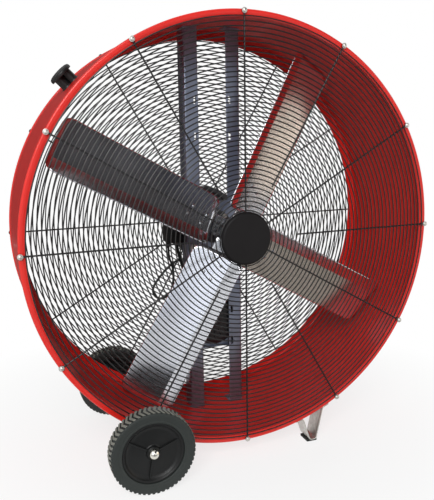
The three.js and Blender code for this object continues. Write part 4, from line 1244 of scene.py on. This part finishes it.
class DRUMFAN_OT_glands(bpy.types.Operator):
    """Makes the glands of the motor lead and the mains inlet, and finishes the lead's tie"""

    bl_idname = "drum_fan.glands"
    bl_label = "Glands and tie"

    def execute(self, context):
        motor_top = math.sqrt(MOTOR_R ** 2 - LEAD_OUT_X ** 2) - MOTOR_DROP
        upright = Matrix.Identity(4)
        over = Matrix.Rotation(math.pi, 4, "X")
        glands = [
            ("box_gland", LEAD_IN_X, -BOX_HALF_H - FIT, over, GLAND_L),
            ("motor_gland", LEAD_OUT_X, motor_top - 3, upright, GLAND_L + 3),
            ("mains_gland", MAINS_X, BOX_HALF_H + FIT, upright, GLAND_L),
        ]
        for name, x, z, turn, height in glands:
            seat = DRUM @ Matrix.Translation(Vector((x, LEAD_Y, z)) * MM) @ turn
            piece(gland_shape(height), f"{name}_nut", "frame", black_plastic(),
                  [name], seat)
        keep(black_plastic(), "black_plastic", "lead_tie")
        return {"FINISHED"}


# ---------- lead post ----------
POST_DEG = 45
POST_H = 29
POST_LOBE_X = 12
POST_LOBE_R = 13
POST_FOOT_R = 15
POST_FOOT_END_R = 13.5
POST_CAP_R = 32
POST_CAP_H = 15


class DRUMFAN_OT_lead_post(bpy.types.Operator):
    """Makes the two-lobed post with its domed cap on the drum's upper left"""

    bl_idname = "drum_fan.lead_post"
    bl_label = "Lead post"

    def execute(self, context):
        top = SKIN_R + POST_H
        cap = [
            (0, top), (POST_CAP_R, top), (POST_CAP_R, top + 7), (30, top + 10.5), (24, top + 13),
            (12, top + 14.6), (0, top + POST_CAP_H),
        ]
        bm = lathe(eased(cap, 1.5), 64)
        for x in (-POST_LOBE_X, POST_LOBE_X):
            foot = (x, SKIN_R - SKIN_WALL, 0)
            rod(bm, foot, (x, top + 1, 0), POST_LOBE_R, 40)
            rod(bm, foot, (x, SKIN_R + 3, 0), POST_FOOT_R, 40, POST_FOOT_END_R)
        upright = Matrix.Rotation(math.radians(90), 4, "X")
        turn = Matrix.Rotation(-math.radians(POST_DEG), 4, "Y") @ upright
        place = DRUM @ Matrix.Translation(Vector((0, DRUM_DEPTH / 2, 0)) * MM) @ turn
        piece(bm, "winding_post", "frame", black_plastic(), ["lead_post"], place)
        return {"FINISHED"}


# ---------- wheels ----------
RIB_DEGREES = (150, 20, 262)
RIB_START = 16
RIB_END = 73
RIB_HALF_W = 2.1
RIB_DROP = 2.2
AXLE_R = 6.35
AXLE_BORE_R = 6.65
NUT_R = 13.5
NUT_DOME = 0.77
NUT_SINK = 3.6
TREAD_SHOULDER = 20.4
TREAD_CROWN = 0.5
TREAD_SKEW = 0.62
TREAD_BLOCK = 0.56
TREAD_SINK = 1.5


def tread_shape(base):
    """One chevron block with broken edges, copied round the tyre."""
    bm = bmesh.new()
    count = sizes().tread_blocks
    pitch = 360 / count
    low_r = base - TREAD_SINK
    across = (0, pitch * TREAD_BLOCK)
    ends = []
    for degrees, y in ((0, -TREAD_SHOULDER), (pitch * TREAD_SKEW, 0), (0, TREAD_SHOULDER)):
        ends.append([bm.verts.new(polar(low_r, degrees + side, y)) for side in across])
    for one, other in zip(ends, ends[1:]):
        bm.faces.new((*one, *reversed(other)))
    grown = bmesh.ops.extrude_face_region(bm, geom=bm.faces[:])["geom"]
    for v in grown:
        if isinstance(v, bmesh.types.BMVert):
            rise = (WHEEL_R - TREAD_CROWN * (v.co.y / TREAD_SHOULDER) ** 2) / low_r
            v.co.x *= rise
            v.co.z *= rise
    tops = [f for f in grown if isinstance(f, bmesh.types.BMFace)]
    edges = {e for f in tops for e in f.edges}
    rims = [e for e in edges if sum(f in tops for f in e.link_faces) == 1]
    bmesh.ops.bevel(bm, geom=rims, offset=0.7, segments=1, affect="EDGES", profile=0.5, material=-1,
                    clamp_overlap=True)
    bmesh.ops.spin(bm, geom=bm.verts[:] + bm.edges[:] + bm.faces[:], cent=(0, 0, 0), axis=(0, 1, 0),
                   dvec=(0, 0, 0), angle=2 * math.pi * (count - 1) / count, steps=count - 1,
                   use_merge=False, use_duplicate=True)
    return bm


def tyre_shape():
    """A tyre with wide smooth sidewalls; chevron blocks stand round it between its shoulders."""
    base = WHEEL_R - sizes().tread_depth / MM
    wall = [
        (80.6, 19), (82.5, 20.4), (85, 20.6), (88, 20), (92, 21), (98, 21.5), (104, 21.3),
        (106.4, 20.4), (base, 19),
    ]
    outline = [(r, -y) for r, y in wall] + [(base, 0)] + list(reversed(wall))
    bm = lathe(eased(outline, 2, closed=True, steps=2), 112)
    merge(bm, tread_shape(base))
    return bm


def rim_shape():
    """A dished rim whose open side faces -Y, with a hub in its middle."""
    outline = [
        (AXLE_BORE_R, -17.5), (15, -17.5), (17, -16), (18.5, -10), (22, -8.4), (60, -7.4), (66, -8.4),
        (71, -11.5), (75, -16.5), (77, -17), (RIM_R, -17), (RIM_R, 17), (74.6, 17), (70.6, -3),
        (19, -3), (17, WHEEL_HALF), (AXLE_BORE_R, WHEEL_HALF),
    ]
    return lathe(eased(outline, 1.6, closed=True), 96)


def add_ribs(bm):
    """Three ribs in the rim's dish, each lower towards the rim."""
    for degrees in RIB_DEGREES:
        rib = bmesh.new()
        block(rib, (RIB_START, -13.8, -RIB_HALF_W), (RIB_END, -7, RIB_HALF_W), 0.8)
        for v in rib.verts:
            v.co.y += RIB_DROP * (v.co.x - RIB_START) / 56 if v.co.y < -10 else 0
        bmesh.ops.transform(rib, matrix=Matrix.Rotation(-math.radians(degrees), 4, "Y"), verts=rib.verts)
        merge(bm, rib)


def cap_nut_shape():
    """A domed nut on a collar; its flat side faces +Y at y = 0."""
    dome = [(x, y * NUT_DOME - NUT_SINK) for x, y in arc((0, 0), NUT_R, -90, 0, 12)]
    dome[0] = (0, dome[0][1])
    return lathe([*dome, (NUT_R, 0), (AXLE_BORE_R, 0), (AXLE_BORE_R, -8), (0, -8)], 48)


class DRUMFAN_OT_wheels(bpy.types.Operator):
    """Makes both wheels with their tread, dished rims and cap nuts"""

    bl_idname = "drum_fan.wheels"
    bl_label = "Wheels"

    def execute(self, context):
        axle = middle("wheel_axle")
        for name, out in (("front", -1), ("rear", 1)):
            turn = Matrix.Rotation(math.pi, 4, "Z") if out > 0 else Matrix.Identity(4)
            at = Matrix.Translation(middle(f"{name}_tyre")) @ turn
            body = f"{name}_wheel"
            piece(tyre_shape(), f"{name}_treaded_tyre", body, tyre_rubber(),
                  [f"{name}_tyre"], at)
            rim = rim_shape()
            add_ribs(rim)
            piece(rim, f"{name}_dished_rim", body, black_plastic(),
                  [f"{name}_rim"], at)
            low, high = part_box(f"{name}_cap_nut")
            seat = Vector((axle.x, high.y if out < 0 else low.y, axle.z))
            piece(cap_nut_shape(), f"{name}_domed_nut", "frame", chrome_plating(),
                  [f"{name}_cap_nut"], Matrix.Translation(seat) @ turn)
        return {"FINISHED"}


class DRUMFAN_OT_axle(bpy.types.Operator):
    """Makes the axle between the wheels, and paints its brackets"""

    bl_idname = "drum_fan.axle"
    bl_label = "Axle"

    def execute(self, context):
        axle = middle("wheel_axle")
        half = (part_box("wheel_axle")[1].y - axle.y) / MM
        bar = lathe(eased([(0, -half), (AXLE_R, -half), (AXLE_R, half), (0, half)], 0.8), 40)
        piece(bar, "axle_bar", "frame", turned_steel(), ["wheel_axle"],
              Matrix.Translation(axle))
        keep(black_paint(), "black_paint", "front_axle_bracket", "rear_axle_bracket")
        return {"FINISHED"}


# ---------- feet ----------
SOLE_X = (213, 233)
LEG_X = (189, 252)
TAB_L = 22
STRAP_WALL = 3
PAD_H = 7


def strap_shape():
    """A strap that comes down off the drum, runs under the pad's sole and goes up again."""
    bm = bmesh.new()
    sole_z = (PAD_H + FIT + STRAP_WALL / 2) - AXIS_Z / MM

    def on_drum(x, along=0):
        degrees = math.degrees(math.atan2(-math.sqrt(STRAP_R ** 2 - x ** 2), x) + along / STRAP_R)
        spot = polar(STRAP_R, degrees)
        return (spot.x, spot.z)

    left, right = LEG_X
    line = eased([on_drum(left, -TAB_L), on_drum(left), (SOLE_X[0], sole_z), (SOLE_X[1], sole_z),
                  on_drum(right), on_drum(right, TAB_L)], 6, steps=5)

    def on_strap(i, j):
        x, z = line[i]
        return Vector((x, FOOT_W * (j / 6 - 0.5), z))

    sheet(bm, len(line) - 1, 6, on_strap)
    return bm


class DRUMFAN_OT_feet(bpy.types.Operator):
    """Bends the two foot straps and sets their pads"""

    bl_idname = "drum_fan.feet"
    bl_label = "Feet"

    def execute(self, context):
        for name in ("front", "rear"):
            centre_y = middle(f"{name}_foot_strap").y
            place = Matrix.Translation((0, centre_y, AXIS_Z))
            piece(strap_shape(), f"{name}_bent_strap", "frame", zinc_plating(),
                  [f"{name}_foot_strap"], place, sheet_mm=STRAP_WALL, bevel_mm=0.6)
            low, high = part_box(f"{name}_foot_pad")
            pad = bmesh.new()
            block(pad, low / MM, high / MM, 1.2)
            piece(pad, f"{name}_rubber_pad", "frame", soft_rubber(),
                  [f"{name}_foot_pad"], Matrix.Identity(4))
        return {"FINISHED"}


# ---------- stage ----------
KEY_AT = (-2.0, -3.8, 3.0)
KEY_WATTS = 190
FILL_AT = (3.4, -2.6, 2.2)
KEY_WIDTH = 2.4
FILL_WATTS = 10
FILL_WIDTH = 2.0
AMBIENT = 0.28
# how far the floor glows near the fan, and the distances between which that grows to white
FLOOR_GLOW = 0.75
FADE_START = 0.3
FADE_END = 1.1
# Glowing boards that only gloss and metal mirror: where each one is, what it faces, its width and
# height in metres, its tone and its strength.
BOARDS = [
    ("back_board", (0, 3.3, 1.3), (0, 0, 0.62), 7, 3, 0x3A3234, 1),
    ("back_floor_board", (-0.6, 2.1, 0.02), (-0.6, 2.1, 1), 5, 2.6, 0x6E6462, 1),
    ("dark_board", (1.49, -1.65, 2.92), (0, 0, 0.62), 5, 2, 0x1A1517, 1),
    ("slate_board", (1.24, -2.65, 1.92), (0, 0, 0.62), 2.4, 0.6, 0x3E4052, 1),
    ("cream_board", (2.75, -1.11, 0.2), (0, 0, 0.62), 2.2, 1.6, 0xF0DCC6, 2),
    ("bright_board", (-1.4, -2.9, 0.6), (-0.15, 0, 0.6), 1.3, 1.1, 0xF4F8FF, 1.6),
    ("side_board", (-0.58, -2.3, 0.12), (-0.58, 0, 0.12), 0.6, 0.45, 0x3A3D48, 1),
    ("left_floor_board", (-0.5, -0.85, 0.02), (-0.5, -0.85, 1), 0.9, 0.8, 0x34353F, 1),
    ("right_floor_board", (0.45, -0.47, 0.02), (0.45, -0.47, 1), 0.8, 0.5, 0xB0A290, 1),
]


def seen_directly(tree):
    """1 for what the camera sees itself or in metal and glass, and 0 for light on the object."""
    light = node(tree, "ShaderNodeLightPath")
    first = node(tree, "ShaderNodeMath", operation="MAXIMUM")
    second = node(tree, "ShaderNodeMath", operation="MAXIMUM")
    tree.links.new(light.outputs["Is Camera Ray"], first.inputs[0])
    tree.links.new(light.outputs["Is Glossy Ray"], first.inputs[1])
    tree.links.new(first.outputs[0], second.inputs[0])
    tree.links.new(light.outputs["Is Transmission Ray"], second.inputs[1])
    return second.outputs[0]


def area_light(name, at, target, width, watts):
    lamp = bpy.data.lights.new(name, "AREA")
    lamp.shape = "SQUARE"
    lamp.size = width
    lamp.energy = watts
    holder = bpy.data.objects.new(name, lamp)
    holder.location = at
    holder.rotation_euler = (Vector(target) - Vector(at)).to_track_quat("-Z", "Y").to_euler()
    bpy.context.scene.collection.objects.link(holder)


def glow(name, code, strength):
    """A softly mottled light of one tone."""
    made = bpy.data.materials.new(name)
    made.use_nodes = True
    tree = made.node_tree
    shader = tree.nodes["Principled BSDF"]
    shader.inputs["Base Color"].default_value = (0, 0, 0, 1)
    shader.inputs["Emission Strength"].default_value = strength
    tone = linear(code)
    tones = ramp(tree, noise(tree, place_of(tree), 1.5), [(0.3, shaded(tone, 0.85)), (0.7, tone)])
    tree.links.new(tones, shader.inputs["Emission Color"])
    return made


def board(name, at, target, width, height, code, strength):
    """A board that shows in the fan's gloss, and neither blocks nor tints any light."""
    bm = bmesh.new()
    bmesh.ops.create_grid(bm, x_segments=4, y_segments=4, size=0.5)
    facing = (Vector(target) - Vector(at)).to_track_quat("Z", "Y").to_matrix().to_4x4()
    place = Matrix.Translation(at) @ facing @ Matrix.Diagonal((width, height, 1, 1))
    bmesh.ops.transform(bm, matrix=place, verts=bm.verts)
    mesh = bpy.data.meshes.new(name)
    bm.to_mesh(mesh)
    bm.free()
    mesh.materials.append(glow(f"{name}_light", code, strength))
    made = bpy.data.objects.new(name, mesh)
    made.visible_camera = made.visible_diffuse = made.visible_shadow = made.visible_transmission = False
    bpy.context.scene.collection.objects.link(made)
    return made


def studio_world():
    world = bpy.data.worlds.new("studio")
    world.use_nodes = True
    tree = world.node_tree
    ambient = tree.nodes["Background"]
    ambient.inputs["Color"].default_value = (1, 1, 1, 1)
    ambient.inputs["Strength"].default_value = AMBIENT
    white = node(tree, "ShaderNodeBackground", {"Color": (1, 1, 1, 1), "Strength": 1.0})
    blend = node(tree, "ShaderNodeMixShader")
    tree.links.new(seen_directly(tree), blend.inputs[0])
    tree.links.new(ambient.outputs[0], blend.inputs[1])
    tree.links.new(white.outputs[0], blend.inputs[2])
    tree.links.new(blend.outputs[0], tree.nodes["World Output"].inputs["Surface"])
    return world


def floor_finish():
    """White paper round the fan that fades into the white background."""
    made = bpy.data.materials.new("white_floor")
    made.use_nodes = True
    tree = made.node_tree
    shader = tree.nodes["Principled BSDF"]
    shader.inputs["Roughness"].default_value = 0.9
    shader.inputs["Specular IOR Level"].default_value = 0.1
    at = place_of(tree)
    papers = [(0.3, (0.93, 0.93, 0.925, 1)), (0.7, (0.96, 0.96, 0.955, 1))]
    tones = ramp(tree, noise(tree, at, 2.0), papers)
    tree.links.new(tones, shader.inputs["Base Color"])
    far = node(tree, "ShaderNodeVectorMath", operation="LENGTH")
    tree.links.new(at, far.inputs[0])
    fade = spread(tree, far.outputs["Value"], FLOOR_GLOW, 1.0, FADE_START, FADE_END)
    both = node(tree, "ShaderNodeMath", operation="MULTIPLY")
    tree.links.new(fade, both.inputs[0])
    tree.links.new(seen_directly(tree), both.inputs[1])
    white = node(tree, "ShaderNodeEmission", {"Color": (1, 1, 1, 1), "Strength": 1.0})
    blend = node(tree, "ShaderNodeMixShader")
    tree.links.new(both.outputs[0], blend.inputs[0])
    tree.links.new(shader.outputs[0], blend.inputs[1])
    tree.links.new(white.outputs[0], blend.inputs[2])
    tree.links.new(blend.outputs[0], tree.nodes["Material Output"].inputs["Surface"])
    return made


class DRUMFAN_OT_stage(bpy.types.Operator):
    """Lays the white floor and lights the fan softly"""

    bl_idname = "drum_fan.stage"
    bl_label = "Floor and lights"

    def execute(self, context):
        bm = bmesh.new()
        bmesh.ops.create_grid(bm, x_segments=8, y_segments=8, size=20)
        mesh = bpy.data.meshes.new("floor")
        bm.to_mesh(mesh)
        bm.free()
        mesh.materials.append(floor_finish())
        floor = bpy.data.objects.new("floor", mesh)
        context.scene.collection.objects.link(floor)
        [board(*row) for row in BOARDS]
        target = (0, 0, AXIS_Z)
        area_light("key", KEY_AT, target, KEY_WIDTH, KEY_WATTS)
        area_light("fill", FILL_AT, target, FILL_WIDTH, FILL_WATTS)
        context.scene.world = studio_world()
        context.scene.view_settings.view_transform = "Standard"
        return {"FINISHED"}


# ---------- add-on ----------
OPERATORS = (
    DRUMFAN_OT_camera,
    DRUMFAN_OT_motor_lead,
    DRUMFAN_OT_drum,
    DRUMFAN_OT_guards,
    DRUMFAN_OT_centre_plate,
    DRUMFAN_OT_guard_screws,
    DRUMFAN_OT_blades,
    DRUMFAN_OT_hub,
    DRUMFAN_OT_shaft,
    DRUMFAN_OT_struts,
    DRUMFAN_OT_bearing_carrier,
    DRUMFAN_OT_belt_drive,
    DRUMFAN_OT_motor,
    DRUMFAN_OT_motor_mount,
    DRUMFAN_OT_switch_box,
    DRUMFAN_OT_switch_knob,
    DRUMFAN_OT_glands,
    DRUMFAN_OT_lead_post,
    DRUMFAN_OT_wheels,
    DRUMFAN_OT_axle,
    DRUMFAN_OT_feet,
    DRUMFAN_OT_stage,
)


class DRUMFAN_PT_build(bpy.types.Panel):
    """Lists the steps that build the fan, with its sizes and colours"""

    bl_idname = "DRUMFAN_PT_build"
    bl_label = "Drum Fan"
    bl_space_type = "VIEW_3D"
    bl_region_type = "UI"
    bl_category = "Drum Fan"

    def draw(self, context):
        for group in (context.scene.drum_fan_sizes, context.scene.drum_fan_colours):
            for name in group.__annotations__:
                self.layout.prop(group, name)
        for step in OPERATORS:
            self.layout.operator(step.bl_idname)


CLASSES = (DrumFanSizes, DrumFanColours, *OPERATORS, DRUMFAN_PT_build)


def register():
    for kind in CLASSES:
        bpy.utils.register_class(kind)
    bpy.types.Scene.drum_fan_sizes = bpy.props.PointerProperty(type=DrumFanSizes)
    bpy.types.Scene.drum_fan_colours = bpy.props.PointerProperty(type=DrumFanColours)


def unregister():
    del bpy.types.Scene.drum_fan_colours
    del bpy.types.Scene.drum_fan_sizes
    for kind in reversed(CLASSES):
        bpy.utils.unregister_class(kind)


def main():
    register()
    for step in OPERATORS:
        getattr(bpy.ops.drum_fan, step.bl_idname.split(".")[1])()


if __name__ == "__main__":
    main()
